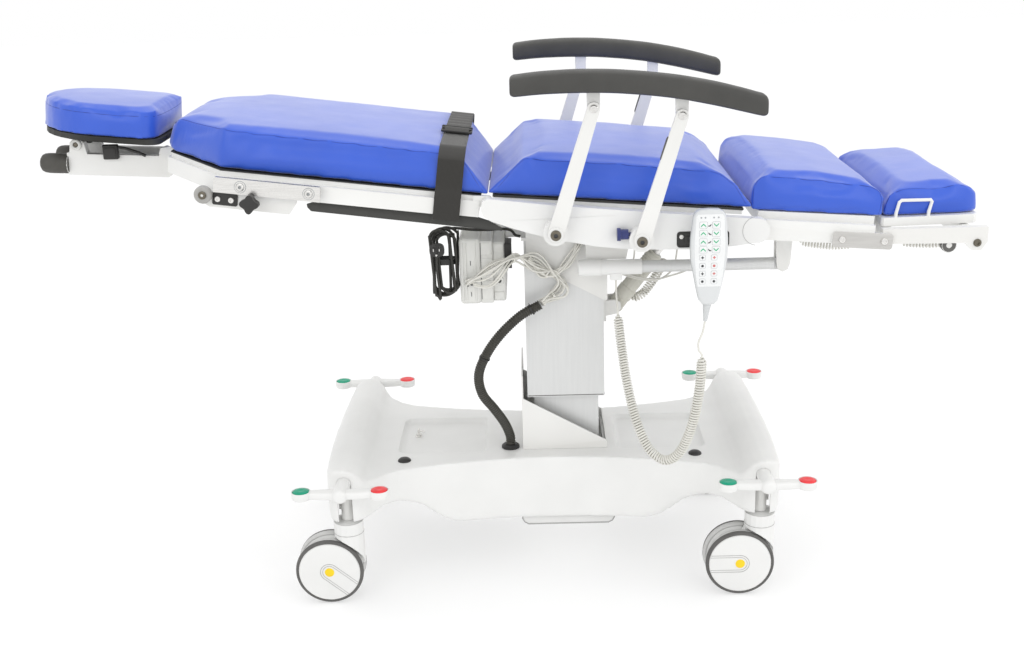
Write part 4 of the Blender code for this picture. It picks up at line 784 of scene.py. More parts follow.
SPANS = [(0.03, 0.40, (0.10, -0.25, -0.95)), (0.40, 0.72, (-0.35, -0.30, -0.85)), (0.70, 1.0, (0.80, -0.25, -0.45))]
BRANCH_SPANS = [(0.0, 0.45, (-0.3, -0.3, -0.8)), (0.45, 0.9, (0.6, -0.2, -0.4))]
STRANDS = [
    strand("bundle_cable_a", BUNDLE, (0.0000, 0.0005), (0.004, 0.004, 0.000), SPANS),
    strand("bundle_cable_b", BUNDLE, (0.0049, 0.0012), (0.016, 0.012, 0.008), SPANS),
    strand("bundle_cable_c", BUNDLE, (-0.0047, 0.0020), (-0.010, -0.008, 0.014), SPANS),
    strand("bundle_cable_d", BUNDLE, (0.0012, -0.0050), (0.028, 0.020, -0.010), SPANS),
    strand("bundle_cable_e", BUNDLE, (-0.0034, -0.0040), (0.040, 0.006, 0.020), SPANS),
    strand("bundle_cable_f", BUNDLE, (0.0010, 0.0054), (-0.004, -0.014, 0.026), SPANS),
    strand("bundle_cable_g", BUNDLE, (0.0082, -0.0028), (0.022, 0.028, -0.018), SPANS),
    strand("bundle_cable_h", BUNDLE, (-0.0094, 0.0036), (0.034, 0.012, 0.012), SPANS),
    strand("bundle_cable_i", BUNDLE, (0.0062, 0.0066), (0.010, -0.020, -0.006), SPANS),
    strand("branch_cable_a", BRANCH, (0.0026, 0.0010), (0.006, 0.000), BRANCH_SPANS, 0.9),
    strand("branch_cable_b", BRANCH, (-0.0026, 0.0008), (-0.006, 0.008), BRANCH_SPANS, 0.9),
    strand("branch_cable_c", BRANCH, (0.0002, -0.0044), (0.014, -0.006), BRANCH_SPANS, 0.9),
    strand("branch_cable_d", BRANCH, (0.0046, -0.0042), (0.020, 0.012), BRANCH_SPANS, 0.9),
    strand("branch_cable_e", BRANCH, (0.0004, 0.0056), (-0.003, -0.003), BRANCH_SPANS, 0.9),
]
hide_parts("cable_bundle")


def band(name_batch, centre, direction, radius, width, head=True):
    """A cable tie: a thin strap round the bundle with its square head."""
    d = Vector(direction).normalized()
    name_batch.turned([(radius, -width / 2), (radius + 0.0011, -width / 2), (radius + 0.0011, width / 2), (radius, width / 2), (radius, -width / 2)], centre, d, 20)
    if head:
        m = axis_matrix(centre, d)
        name_batch.add(bevelled_box((radius - 0.0005, -0.0028, -0.0024), (radius + 0.0042, 0.0028, 0.0024), 0.0004, 1), m)
        name_batch.add(bevelled_box((radius + 0.0015, -0.0012, -0.0005), (radius + 0.0026, 0.0120, 0.0005), 0.0002, 1), m)


ties = Batch("bundle_ties", "lift", "cable")
for where, direction in (((-0.0030, -0.1370, 0.7385), (1, 0.25, 0.0)), ((0.0700, -0.1110, 0.6990), (0.8, 0.1, -0.5)), ((0.0790, -0.1150, 0.6480), (-0.8, -0.3, -0.3))):
    band(ties, W(*where), direction, 0.0092, 0.0032)
ties.done()
hose_ties = Batch("hose_ties", None, "black_plastic")
band(hose_ties, W(0.0330, -0.1310, 0.6200), (0.88, 0.04, 0.48), 0.0113, 0.0036)
band(hose_ties, W(-0.0735, -0.1303, 0.5100), (0.37, -0.06, 0.92), 0.0113, 0.0030)
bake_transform(hose_ties.done())


# ---------------------------------------------------------------- cushions
def remeshed(name, source, voxel):
    """A copy of a mesh rebuilt in even quads."""
    obj = loose(name, source.copy())
    mod = obj.modifiers.new("even", "REMESH")
    mod.mode = "VOXEL"
    mod.voxel_size = voxel
    graph = bpy.context.evaluated_depsgraph_get()
    graph.update()
    mesh = bpy.data.meshes.new_from_object(obj.evaluated_get(graph))
    obj.modifiers.clear()
    obj.data = mesh
    return obj


def coords(mesh):
    co = np.zeros(len(mesh.vertices) * 3)
    mesh.vertices.foreach_get("co", co)
    return co.reshape(-1, 3)


def normals(mesh):
    no = np.zeros(len(mesh.vertices) * 3)
    mesh.vertex_normals.foreach_get("vector", no)
    return no.reshape(-1, 3)


def relax(co, edges, rounds, factor, hold=None):
    """Moves each point towards the mean of its neighbours."""
    a, b = edges[:, 0], edges[:, 1]
    count = np.bincount(np.concatenate([a, b]), minlength=len(co)).astype(float)
    for _ in range(rounds):
        total = np.zeros_like(co)
        np.add.at(total, a, co[b])
        np.add.at(total, b, co[a])
        step = (total / count[:, None] - co) * factor
        if hold is not None:
            step *= hold[:, None]
        co = co + step
    return co


def edge_array(mesh):
    e = np.zeros(len(mesh.edges) * 2, np.int32)
    mesh.edges.foreach_get("vertices", e)
    return e.reshape(-1, 2)


def cushion(name, node, body, matrix, voxel=0.006, inset=0.0035, cap=0.0065, soften=3, crown=0.0, crown_axis="y", pull=(), skirt=0.0):
    """A foam block in a sewn cover: the CAD solid drawn in a little, filled by pressure, flat below."""
    obj = remeshed(name, NODES[node].data, voxel)
    mesh = obj.data
    inverse = matrix.inverted()
    local = np.array(inverse)
    co = coords(mesh)
    no = normals(mesh)
    rest = co @ local[:3, :3].T + local[:3, 3]
    floor = rest[:, 2].min()
    low = rest[:, 2] < floor + 0.003
    start = co - no * inset
    start[low] = co[low] - no[low] * 0.0004
    start = relax(start, edge_array(mesh), soften, 0.5)
    mesh.vertices.foreach_set("co", start.ravel())
    mesh.update()
    group = obj.vertex_groups.new(name="pin")
    group.add([int(i) for i in np.nonzero(low)[0]], 1.0, "REPLACE")
    cloth = obj.modifiers.new("fill", "CLOTH")
    s = cloth.settings
    s.quality = 4
    s.mass = 0.4
    s.tension_stiffness = s.compression_stiffness = 22
    s.shear_stiffness = 10
    s.bending_stiffness = 1.2
    s.use_pressure = True
    s.uniform_pressure_force = 4.0
    s.vertex_group_mass = "pin"
    s.effector_weights.gravity = 0.0
    cloth.point_cache.frame_start, cloth.point_cache.frame_end = 1, 16
    scene = bpy.context.scene
    for f in range(1, 17):
        scene.frame_set(f)
    graph = bpy.context.evaluated_depsgraph_get()
    done = bpy.data.meshes.new_from_object(obj.evaluated_get(graph))
    moved = coords(done)
    obj.modifiers.clear()
    bpy.data.meshes.remove(done)
    scene.frame_set(1)
    step = moved - start
    step = 0.30 * step + 0.70 * relax(step, edge_array(mesh), 9, 0.5)
    size = np.linalg.norm(step, axis=1)
    step *= np.minimum(1.0, cap / np.maximum(size, 1e-9))[:, None]
    shape = start + step
    obj.vertex_groups.clear()
    here = shape @ local[:3, :3].T + local[:3, 3]
    if crown:
        k = 1 if crown_axis == "y" else 0
        mid = (here[:, k].max() + here[:, k].min()) / 2
        wide = (here[:, k].max() - here[:, k].min()) / 2
        lift = np.clip((here[:, 2] - floor) / 0.08, 0, 1)
        here[:, 2] += crown * lift * (1 - ((here[:, k] - mid) / wide) ** 2)
    here[:, 2] = np.maximum(here[:, 2], floor + 0.0003)
    here = relax(here, edge_array(mesh), 1, 0.45)
    for k in (0, 1):
        lo, hi, a, b = here[:, k].min(), here[:, k].max(), rest[:, k].min(), rest[:, k].max()
        here[:, k] = a + (here[:, k] - lo) * (b - a) / (hi - lo)
    for x0, x1, reach in pull:
        f = np.clip((here[:, 0] - x0) / (x1 - x0), 0, 1)
        here[:, 0] += reach * f * f
    here[:, 2] = np.maximum(here[:, 2], floor + 0.0003)
    edge = np.abs(here[:, 1]) > np.abs(here[:, 1]).max() - 0.0032
    here[:, 2] -= np.where(edge, skirt * np.clip(1 - (here[:, 2] - floor) / 0.030, 0, 1), 0.0)
    back = np.array(matrix)
    shape = here @ back[:3, :3].T + back[:3, 3]
    mesh.vertices.foreach_set("co", shape.ravel())
    mesh.update()
    mesh.materials.clear()
    mesh.materials.append(M["blue_vinyl"])
    mesh.shade_smooth()
    sub = obj.modifiers.new("soft", "SUBSURF")
    sub.levels = sub.render_levels = 1
    graph = bpy.context.evaluated_depsgraph_get()
    graph.update()
    fine = bpy.data.meshes.new_from_object(obj.evaluated_get(graph))
    obj.modifiers.clear()
    obj.data = fine
    fine.shade_smooth()
    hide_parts(node)
    return obj


def seam(name, cush, lines, body, inset=0.0009, radius=0.00065):
    """Sewn seams: fine welts that lie in the cover along the given lines, their darker blue painted shadow in the seam.
    """
    tree = BVHTree.FromObject(cush, bpy.context.evaluated_depsgraph_get())
    batch = Batch(name, body, "seam", 80)
    for line in lines:
        pts = []
        for p in smooth(line, spacing=0.004):
            hit, normal, _, _ = tree.find_nearest(p)
            pts.append(hit - normal * inset * 0.4)
        pts = smooth(pts[::5] + ([pts[-1]] if (len(pts) - 1) % 5 else []), spacing=0.004)
        batch.add(sweep(pts, radius, 6))
    return batch.done()


SEAT_PAD = cushion("seat_pad", "seat_cushion", "seat", SEAT, voxel=0.0068, crown=0.004, pull=((-0.060, -0.150, -0.010), (0.220, 0.364, 0.010)))
BACK_PAD = cushion("back_pad", "back_cushion", "back", BACK, voxel=0.0068, crown=0.005, pull=((-0.100, -0.012, 0.010), (-0.500, -0.676, -0.014)))
HEAD_PAD = cushion("head_pad", "head_cushion", "head_rest", HEADR, voxel=0.0046, crown=0.006, pull=((0.060, -0.075, -0.006),))
LEG_PAD = cushion("leg_pad", "leg_cushion", "leg", LEG, voxel=0.0062, crown=0.004, pull=((0.120, 0.2535, 0.005), (0.100, -0.011, -0.003)), skirt=0.009)
FOOT_PAD = cushion("foot_pad", "foot_cushion", "foot", FOOT, voxel=0.0058, crown=0.004)
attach(SEAT_PAD, "seat")
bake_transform(BACK_PAD)
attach(HEAD_PAD, "head_rest")
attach(LEG_PAD, "leg")
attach(FOOT_PAD, "foot")


# ---------------------------------------------------------------- CAD pieces that stay
for name, mat, bevel in (
        ("base_frame", "white_coat", 0.0012), ("base_underpan", "white_plastic", 0.004), ("column_bracket", "white_coat", 0.0008), ("column_inner", "anodised", 0.002),
        ("column_outer", "anodised", 0.0025), ("column_head", "white_coat", 0.0010), ("lift_spindle", "steel", 0.001), ("conduit_gland", "black_plastic", 0.001),
        ("seat_panel_near", "white_plastic", 0.0035), ("seat_panel_far", "white_plastic", 0.0035), ("seat_frame", "white_coat", 0.001),
        ("leg_actuator_rod", "anodised", 0.001), ("tilt_actuator", "actuator", 0.0015), ("tilt_actuator_rod", "steel", 0.001),
        ("arm_post_a_near", "white_coat", 0.0012), ("arm_post_a_far", "white_coat", 0.0012), ("arm_post_b_near", "white_coat", 0.0012), ("arm_post_b_far", "white_coat", 0.0012),
        ("back_frame", "white_coat", 0.0012), ("accessory_rail_near", "steel", 0.0009), ("accessory_rail_far", "steel", 0.0009), ("back_lift_arms", "black_coat", 0.001),
        ("bumper_roller_near", "tread", 0.0008), ("bumper_roller_far", "tread", 0.0008), ("rail_clamp_knob", "black_plastic", 0.0015),
        ("head_frame", "white_coat", 0.0012), ("head_plate", "black_coat", 0.0025), ("leg_frame", "white_coat", 0.0012), ("foot_frame", "white_coat", 0.0012),
        ("foot_tray", "white_coat", 0.0012), ("arm_lock_near", "navy_plastic", 0.0008), ("arm_lock_far", "navy_plastic", 0.0008)):
    finish_node(name, mat, bevel)
for key in ("head_near", "head_far", "foot_near", "foot_far"):
    finish_node("caster_fork_" + key, "white_plastic", 0.0015)


# ---------------------------------------------------------------- base moulding
def on_base(outline):
    return [(u + BASE_X + S, v) for u, v in outline]


def base_moulding():
    """The cover as one soft-edged moulding: the CAD outlines rebuilt as an even skin, eased, then hollowed."""
    half = [(0.0, 0.277), (0.385, 0.277), (0.401, 0.2785), (0.411, 0.2840), (0.420, 0.2990), (0.433, 0.3120), (0.452, 0.318), (0.474, 0.316), (0.492, 0.306), (0.508, 0.288),
            (0.508, 0.190), (0.416, 0.190), (0.405, 0.1915), (0.385, 0.1975), (0.350, 0.2005), (0.318, 0.1925), (0.290, 0.1785), (0.266, 0.1570), (0.244, 0.1390), (0.215, 0.1290),
            (0.120, 0.1270), (0.0, 0.1256)]
    inner = [(0.0, 0.258), (0.385, 0.258), (0.414, 0.2650), (0.4255, 0.2840), (0.439, 0.3040), (0.453, 0.311), (0.471, 0.309), (0.486, 0.301), (0.520, 0.280), (0.520, 0.060),
             (0.0, 0.060)]

    def both(line):
        return on_base(line + [(-u, v) for u, v in reversed(line[1:-1])])

    def plan(k):
        right = [(0.340 * i / 8, 0.148 + 0.47 * (0.340 * i / 8) ** 2 - k) for i in range(9)]
        right += [(0.368 - 0.4 * k, 0.222 - k), (0.393 - 0.2 * k, 0.250 - k), (0.411 - 0.1 * k, 0.275 - k), (0.427, 0.288 - k), (0.452, 0.293 - k), (0.476 - 0.5 * k, 0.289 - k),
                  (0.489 - k, 0.272 - k), (0.495 - k, 0.200), (0.502 - k, 0.100), (0.504 - k, 0.0)]
        east = right + [(u, -v) for u, v in reversed(right[:-1])]
        return on_base(east + [(-u, v) for u, v in reversed(east) if u > 1e-9])

    body = loose("base_solid", plate(both(half), -0.32, 0.32, "xz", 0.0))
    boolean(body, loose("plan", plate(plan(0.0), 0.0, 0.5, "xy", 0.0)), "INTERSECT")
    for s in (-1, 1):
        x = BASE_X + S + s * 0.250
        boolean(body, loose("tray", plate(rounded(x - 0.100, x + 0.100, -0.105, 0.105, 0.020, 8), 0.2645, 0.35, "xy", 0.0)))
    skin = remeshed("base_moulding", body.data, 0.0046)
    bpy.data.objects.remove(body, do_unlink=True)
    co = coords(skin.data)
    tray = (np.abs(np.abs(co[:, 0] - BASE_X - S) - 0.250) < 0.112) & (np.abs(co[:, 1]) < 0.117) & (co[:, 2] > 0.250)
    co = relax(co, edge_array(skin.data), 4, 0.5, np.where(tray, 0.35, 1.0))
    co = relax(co, edge_array(skin.data), 10, 0.5, np.clip((0.232 - co[:, 2]) / 0.03, 0, 1))
    skin.data.vertices.foreach_set("co", co.ravel())
    skin.data.update()
    hollow = loose("hollow", plate(both(inner), -0.31, 0.31, "xz", 0.0))
    boolean(hollow, loose("plan", plate(plan(0.006), 0.02, 0.45, "xy", 0.0)), "INTERSECT")
    boolean(skin, hollow, "DIFFERENCE", "MANIFOLD")
    hole = bpy.data.meshes.new("hole")
    bm = bevelled_box(W(0.024, -0.080, 0.20), W(0.190, 0.080, 0.35), 0.0)
    bm.to_mesh(hole)
    bm.free()
    boolean(skin, loose("hole", hole), "DIFFERENCE", "MANIFOLD")
    for sx in (-1, 1):
        x = BASE_X + S + sx * 0.451
        slot = [(x - 0.016, 0.15), (x + 0.016, 0.15)] + arc(x, 0.286, 0.016, 0, 180, 14)
        for y0, y1 in ((-0.32, -0.262), (0.262, 0.32)):
            boolean(skin, loose("slot", plate(slot, y0, y1, "xz", 0.0)), "DIFFERENCE", "MANIFOLD")
    mesh = skin.data
    mesh.materials.clear()
    mesh.materials.append(M["white_plastic"])
    mesh.shade_smooth()
    mesh.set_sharp_from_angle(angle=math.radians(38))
    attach(skin, "base")
    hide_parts("base_cover")
    return skin


base_moulding()
plugs = Batch("deck_plugs", "base", "black_plastic", 40)
for px, py in ((-0.262, -0.150), (0.392, -0.146)):
    plugs.turned([(0, 0.0072), (0.0060, 0.0068), (0.0110, 0.0052), (0.0142, 0.0024), (0.0150, 0.0004), (0.0150, -0.0030), (0, -0.0030)], W(px, py, 0.2770), (0, 0, 1), 32)
plugs.done()
stud = Batch("deck_stud", "base", "steel", 40)
at = W(-0.2430, 0.0230, 0.2645)
stud.turned([(0, 0.0020), (0.0085, 0.0019), (0.0100, 0.0008), (0.0100, -0.0010), (0, -0.0010)], at, (0, 0, 1), 32)
stud.turned([(0, 0.0075), (0.0058, 0.0074), (0.0066, 0.0066), (0.0066, 0.0016), (0, 0.0016)], at, (0, 0, 1), 6)
stud.turned([(0, 0.0200), (0.0022, 0.0198), (0.0030, 0.0188), (0.0030, 0.0070), (0, 0.0070)], at, (0, 0, 1), 20)
stud.tube([at + Vector((0.0, 0.0, 0.0140)), at + Vector((0.0080, -0.0020, 0.0142)), at + Vector((0.0150, -0.0035, 0.0132))], 0.0022, 12)
stud.done()
# A thin grey line round the underpan's sides and lower edge: painted shadow where the pan hangs below the base.
pan_shadow = Batch("underpan_shadow_line", "base", "grey_line", 50)
for s in (-1, 1):
    pan_shadow.tube([W(x, s * 0.1283, z) for x, z in ((0.0003, 0.1500), (0.0003, 0.1160), (0.0050, 0.1075), (0.0140, 0.1024), (0.1980, 0.1024), (0.2070, 0.1075), (0.2117, 0.1160), (0.2117, 0.1500))], 0.0015, 10)
pan_shadow.done()
stage = NODES["column_outer"]
corners = coords(stage.data) @ np.array(stage.matrix_world)[:3, :3].T + np.array(stage.matrix_world)[:3, 3]
(sx0, sy0, sz0), (sx1, sy1, _) = corners.min(axis=0), corners.max(axis=0)
seal = Batch("column_seal", "lift", "seal_line", 50)
for a, b in (((sx0, sy0), (sx1, sy0)), ((sx1, sy0), (sx1, sy1)), ((sx1, sy1), (sx0, sy1)), ((sx0, sy1), (sx0, sy0))):
    seal.tube([Vector((a[0] + (b[0] - a[0]) * f, a[1] + (b[1] - a[1]) * f, sz0 + 0.0030)) for f in (0.012, 0.5, 0.988)], 0.0010, 10)
seal.done()

# ---------------------------------------------------------------- casters
CASTERS = {"head_near": (-0.381, -0.258, -40), "head_far": (-0.381, 0.258, 205), "foot_near": (0.521, -0.258, 180), "foot_far": (0.521, 0.258, -35)}
for key, (cx, cy, turn) in CASTERS.items():
    wx, body = cx - 0.045, "wheels_" + key
    tyre = Batch("tyres_" + key, body, "rubber", 40)
    tread = Batch("wheel_treads_" + key, body, "pale_tread", 40)
    disc = Batch("wheel_discs_" + key, body, "white_plastic", 30)
    cap = Batch("wheel_caps_" + key, body, "yellow", 50)
    groove = Batch("wheel_grooves_" + key, body, "grey_line", 60)
    d = Vector((math.cos(math.radians(turn)), 0, math.sin(math.radians(turn))))
    n = Vector((-d.z, 0, d.x))
    for s in (-1, 1):
        c = W(wx, cy, 0.075)
        tread.turned([(0.0678, 0.0125), (0.0712, 0.0116), (0.0736, 0.0138), (0.0746, 0.0185), (0.0746, 0.0246), (0.0678, 0.0250), (0.0678, 0.0125)], c, (0, s, 0), 64)
        tyre.turned([(0.0680, 0.0236), (0.0748, 0.0238), (0.0750, 0.0262), (0.0744, 0.0298), (0.0722, 0.0326), (0.0704, 0.0334), (0.0690, 0.0330), (0.0682, 0.0316), (0.0680, 0.0236)],
                    c, (0, s, 0), 64)
        disc.turned([(0, 0.0333), (0.0620, 0.0335), (0.0662, 0.0330), (0.0678, 0.0318), (0.0684, 0.0300), (0.0684, 0.0130), (0.0640, 0.0112), (0.0130, 0.0106), (0.0125, 0.0003),
                     (0, 0.0003)], c, (0, s, 0), 64)
        cap.turned([(0, 0.0358), (0.0045, 0.0356), (0.0085, 0.0350), (0.0100, 0.0342), (0.0105, 0.0332), (0, 0.0330)], c, (0, s, 0), 36)
        for r, w in ((0.0200, 0.00075), (0.0152, 0.00065)):
            far = math.sqrt(0.0662 ** 2 - r * r)
            run = [d * far + n * r, d * far * 0.5 + n * r] + [d * (r * math.cos(math.radians(a))) + n * (r * math.sin(math.radians(a))) for a in range(90, 271, 10)]
            run += [d * far * 0.5 - n * r, d * far - n * r]
            groove.add(sweep([c + p + Vector((0, s * 0.0334, 0)) for p in run], w, 6))
    tyre.done("caster_wheels_" + key)
    tread.done()
    disc.done()
    cap.done()
    groove.done()
    fork = Batch("caster_lines_" + key, "caster_" + key, "grey_line", 50)
    fork.turned([(0.0326, -0.0006), (0.03315, -0.0006), (0.03315, 0.0006), (0.0326, 0.0006), (0.0326, -0.0006)], W(cx, cy, 0.1600), (0, 0, 1), 48)
    fork.done()
    top = Batch("caster_collars_" + key, "caster_" + key, "white_plastic", 40)
    top.turned([(0.0095, 0.0030), (0.0190, 0.0028), (0.0240, 0.0016), (0.0300, 0.0002), (0.0095, 0.0)], W(cx, cy, 0.1866), (0, 0, 1), 40)
    top.done()

# ---------------------------------------------------------------- brake and steer pedals
for end, x in (("head", -0.381), ("foot", 0.521)):
    body = "pedal_" + end
    bar = Batch("pedal_bars_" + end, body, "white_plastic", 40)
    green = Batch("pedal_caps_green_" + end, body, "green", 50)
    red = Batch("pedal_caps_red_" + end, body, "red", 50)
    bar.tube([W(x, -0.300, 0.286), W(x, 0.0, 0.286), W(x, 0.300, 0.286)], 0.0080, 20)
    for s in (-1, 1):
        y = s * 0.342
        rings = []
        for i in range(15):
            t = -1 + 2 * i / 14
            wy, hz = 0.0104 + 0.0046 * (1 - t * t), 0.0082 + 0.0014 * (1 - t * t)
            ring = []
            for k in range(24):
                a = 2 * math.pi * k / 24
                c, q = math.cos(a), math.sin(a)
                ring.append(W(x + 0.068 * t, y + wy * math.copysign(abs(c) ** 0.62, c), 0.286 + hz * math.copysign(abs(q) ** 0.62, q)))
            rings.append(ring)
        bar.add(loft(rings))
        for sx, colour in ((-1, green), (1, red)):
            c = W(x + sx * 0.083, y, 0.286)
            bar.turned([(0, 0.0060), (0.0184, 0.0060), (0.0187, 0.0084), (0.0194, 0.0090), (0.0206, 0.0086), (0.0210, 0.0070), (0.0206, -0.0040), (0.0188, -0.0084), (0.0130, -0.0100),
                        (0, -0.0098)], c, (0, 0, 1), 40)
            colour.turned([(0, 0.0106), (0.0050, 0.0108), (0.0066, 0.0112), (0.0120, 0.0107), (0.0164, 0.0094), (0.0184, 0.0074), (0.0184, 0.0058), (0, 0.0058)], c, (0, 0, 1), 40)
        bar.turned([(0, 0.2985), (0.0155, 0.2985), (0.0155, 0.2650), (0.0145, 0.2640), (0, 0.2640)], W(x, 0, 0.286), (0, s, 0), 36)
        bar.turned([(0, 0.3633), (0.0070, 0.3632), (0.0112, 0.3618), (0.0146, 0.3582), (0.0166, 0.3520), (0.0172, 0.3440), (0.0170, 0.3320), (0.0156, 0.3180), (0.0150, 0.3060),
                    (0.0150, 0.2978), (0, 0.2978)], W(x, 0, 0.286), (0, s, 0), 40)
    bar.done("pedal_bar_" + end)
    green.done()
    red.done()


# ---------------------------------------------------------------- handset
def handset():
    outline = [(0.3575, 0.8640), (0.3595, 0.8700), (0.3640, 0.8755), (0.3720, 0.8790), (0.3900, 0.8798), (0.4080, 0.8790), (0.4160, 0.8755), (0.4205, 0.8700), (0.4225, 0.8640),
               (0.4262, 0.8200), (0.4265, 0.8000), (0.4252, 0.7780), (0.4205, 0.7480), (0.4150, 0.7220), (0.4105, 0.7030), (0.4075, 0.6930), (0.4010, 0.6860), (0.3890, 0.6845),
               (0.3770, 0.6860), (0.3710, 0.6930), (0.3680, 0.7030), (0.3640, 0.7220), (0.3590, 0.7480), (0.3535, 0.7780), (0.3525, 0.8000), (0.3530, 0.8200)]
    shell = piece("handset_shell", plate([(u + S, v) for u, v in outline], -0.3470, -0.3190, "xz", 0.0062, res=4), "handset", "handset", 60)
    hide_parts("handset")
    line_batch = Batch("handset_parting", "handset", "key_line", 60)
    ring = [Vector((u + S, -0.3335, v)) for u, v in outline]
    line_batch.add(sweep(ring + [ring[0]], 0.0007, 6))
    panel = [(0.3900 + S + sx * w, z) for sx, w, z in ((1, 0.0275, 0.8660), (1, 0.0240, 0.8715), (-1, 0.0240, 0.8715), (-1, 0.0275, 0.8660), (-1, 0.0305, 0.8150), (-1, 0.0305, 0.7950),
                                                       (-1, 0.0270, 0.7450), (-1, 0.0235, 0.7240), (1, 0.0225, 0.7240), (1, 0.0265, 0.7450), (1, 0.0305, 0.7950), (1, 0.0305, 0.8150))]
    face = Batch("handset_panel", "handset", "key", 40)
    face.plate(panel, -0.34745, -0.34690, "xz", bevel=0.0002)
    edge = line_batch
    keys = Batch("handset_keys", "handset", "key", 40)
    greens = Batch("handset_arrows", "handset", "key_green", 40)
    darks = Batch("handset_symbols", "handset", "key_dark", 40)
    reds = Batch("handset_red_symbols", "handset", "key_red", 40)

    def key(cx, cz, w, h):
        edge.plate(rounded(cx - w / 2 - 0.0005 + S, cx + w / 2 + 0.0005 + S, cz - h / 2 - 0.0005, cz + h / 2 + 0.0005, 0.0026), -0.34770, -0.34730, "xz", bevel=0.0001)
        keys.plate(rounded(cx - w / 2 + S, cx + w / 2 + S, cz - h / 2, cz + h / 2, 0.0023), -0.34820, -0.34750, "xz", bevel=0.0003)

    for row, cz in enumerate((0.850, 0.833, 0.816, 0.800)):
        for cx, way in ((0.3765, 1), (0.4020, -1)):
            key(cx, cz, 0.0150, 0.0128)
            arrow = [(-0.0050, -0.0014), (0, 0.0034), (0.0050, -0.0014), (0.0050, -0.0040), (0, 0.0008), (-0.0050, -0.0040)]
            greens.plate([(cx + S + u, cz + way * v) for u, v in arrow][::way], -0.34850, -0.34805, "xz", bevel=0.0001)
        mark = [(-0.0032, -0.0010), (-0.0010, -0.0010), (0.0022, 0.0018), (0.0032, 0.0006), (0.0004, -0.0030), (-0.0032, -0.0030)]
        flip = 1 if row % 2 == 0 else -1
        darks.plate([(0.3892 + S + flip * u, cz + v) for u, v in mark][::flip], -0.34790, -0.34735, "xz", bevel=0.0001)
    for row, cz in enumerate((0.7840, 0.7670, 0.7510, 0.7350)):
        for cx, batch in ((0.3757, darks), (0.3988, reds if row < 3 else darks)):
            key(cx, cz, 0.0112, 0.0106)
            if row % 2 == 0:
                batch.plate(rounded(cx - 0.0030 + S, cx + 0.0030 + S, cz - 0.0009, cz + 0.0009, 0.0004, 2), -0.34850, -0.34805, "xz", bevel=0.0001)
                batch.plate(rounded(cx - 0.0009 + S, cx + 0.0009 + S, cz - 0.0030, cz + 0.0030, 0.0004, 2), -0.34852, -0.34807, "xz", bevel=0.0001)
            else:
                batch.plate(arc(cx + S, cz, 0.0027, 0, 342, 18), -0.34850, -0.34805, "xz", bevel=0.0001)
    for i, cx in enumerate((0.3720, 0.3800, 0.3970, 0.4060)):
        edge.plate(arc(cx + S, 0.8650, 0.0018, 0, 330, 11), -0.34780, -0.34735, "xz", bevel=0.0001)
    for b in (face, edge, keys, greens, darks, reds):
        b.done()
    relief = Batch("handset_relief", "handset", "handset", 40)
    p0, p1 = W(0.3882, -0.3330, 0.6880), W(0.3845, -0.3335, 0.6475)
    profile, length = [(0, -0.002)], (p1 - p0).length
    for i in range(13):
        h = length * i / 13
        r = 0.0090 + (0.0044 - 0.0090) * i / 12
        profile += [(r, h), (r, h + length / 13 * 0.58), (r - 0.0012, h + length / 13 * 0.66), (r - 0.0012, h + length / 13 * 0.94)]
    profile += [(0.0030, length), (0, length)]
    relief.turned(profile, p0, p1 - p0, 24)
    relief.done()
    return shell


HANDSET = handset()


# ---------------------------------------------------------------- seat belt
def strap(name, line, x0, x1, thick=0.0019, across=6):
    """Webbing laid along a line of (y, z) points in the back section's axes, with its own coordinates for the weave."""
    pts = smooth([(0, y, z) for y, z in line], spacing=0.006)
    bm = bmesh.new()
    uv = bm.loops.layers.uv.new("UVMap")
    rows, run = [], 0.0
    for i, p in enumerate(pts):
        if i:
            run += (p - pts[i - 1]).length
        row = []
        for k in range(across + 1):
            f = k / across
            v = bm.verts.new(BACK @ Vector((x0 + (x1 - x0) * f, p.y, p.z)))
            row.append((v, run, f * abs(x1 - x0)))
        rows.append(row)
    for a, b in zip(rows, rows[1:]):
        for k in range(across):
            quad = (a[k], a[k + 1], b[k + 1], b[k])
            f = bm.faces.new([q[0] for q in quad])
            for loop, q in zip(f.loops, quad):
                loop[uv].uv = (q[1], q[2])
    mesh = bpy.data.meshes.new(name)
    bm.to_mesh(mesh)
    bm.free()
    obj = loose(name, mesh)
    mod = obj.modifiers.new("thick", "SOLIDIFY")
    mod.thickness = thick
    mod.offset = 0.0
    edge = obj.modifiers.new("edge", "BEVEL")
    edge.width = thick * 0.35
    edge.segments = 2
    graph = bpy.context.evaluated_depsgraph_get()
    graph.update()
    made = bpy.data.meshes.new_from_object(obj.evaluated_get(graph))
    bpy.data.objects.remove(obj, do_unlink=True)
    return piece(name, made, "webbing", "back", 50)


def pad_height(pad, matrix, x0, x1, y):
    """How high a pad stands, in a section's axes, over a short width at one place."""
    inverse = matrix.inverted()
    best = -1.0
    for k in range(7):
        x = x0 + (x1 - x0) * k / 6
        a, b = matrix @ Vector((x, y, 0.30)), matrix @ Vector((x, y, -0.1))
        hit, where, _, _ = pad.ray_cast(a, (b - a).normalized())
        if hit:
            best = max(best, (inverse @ where).z)
    return best


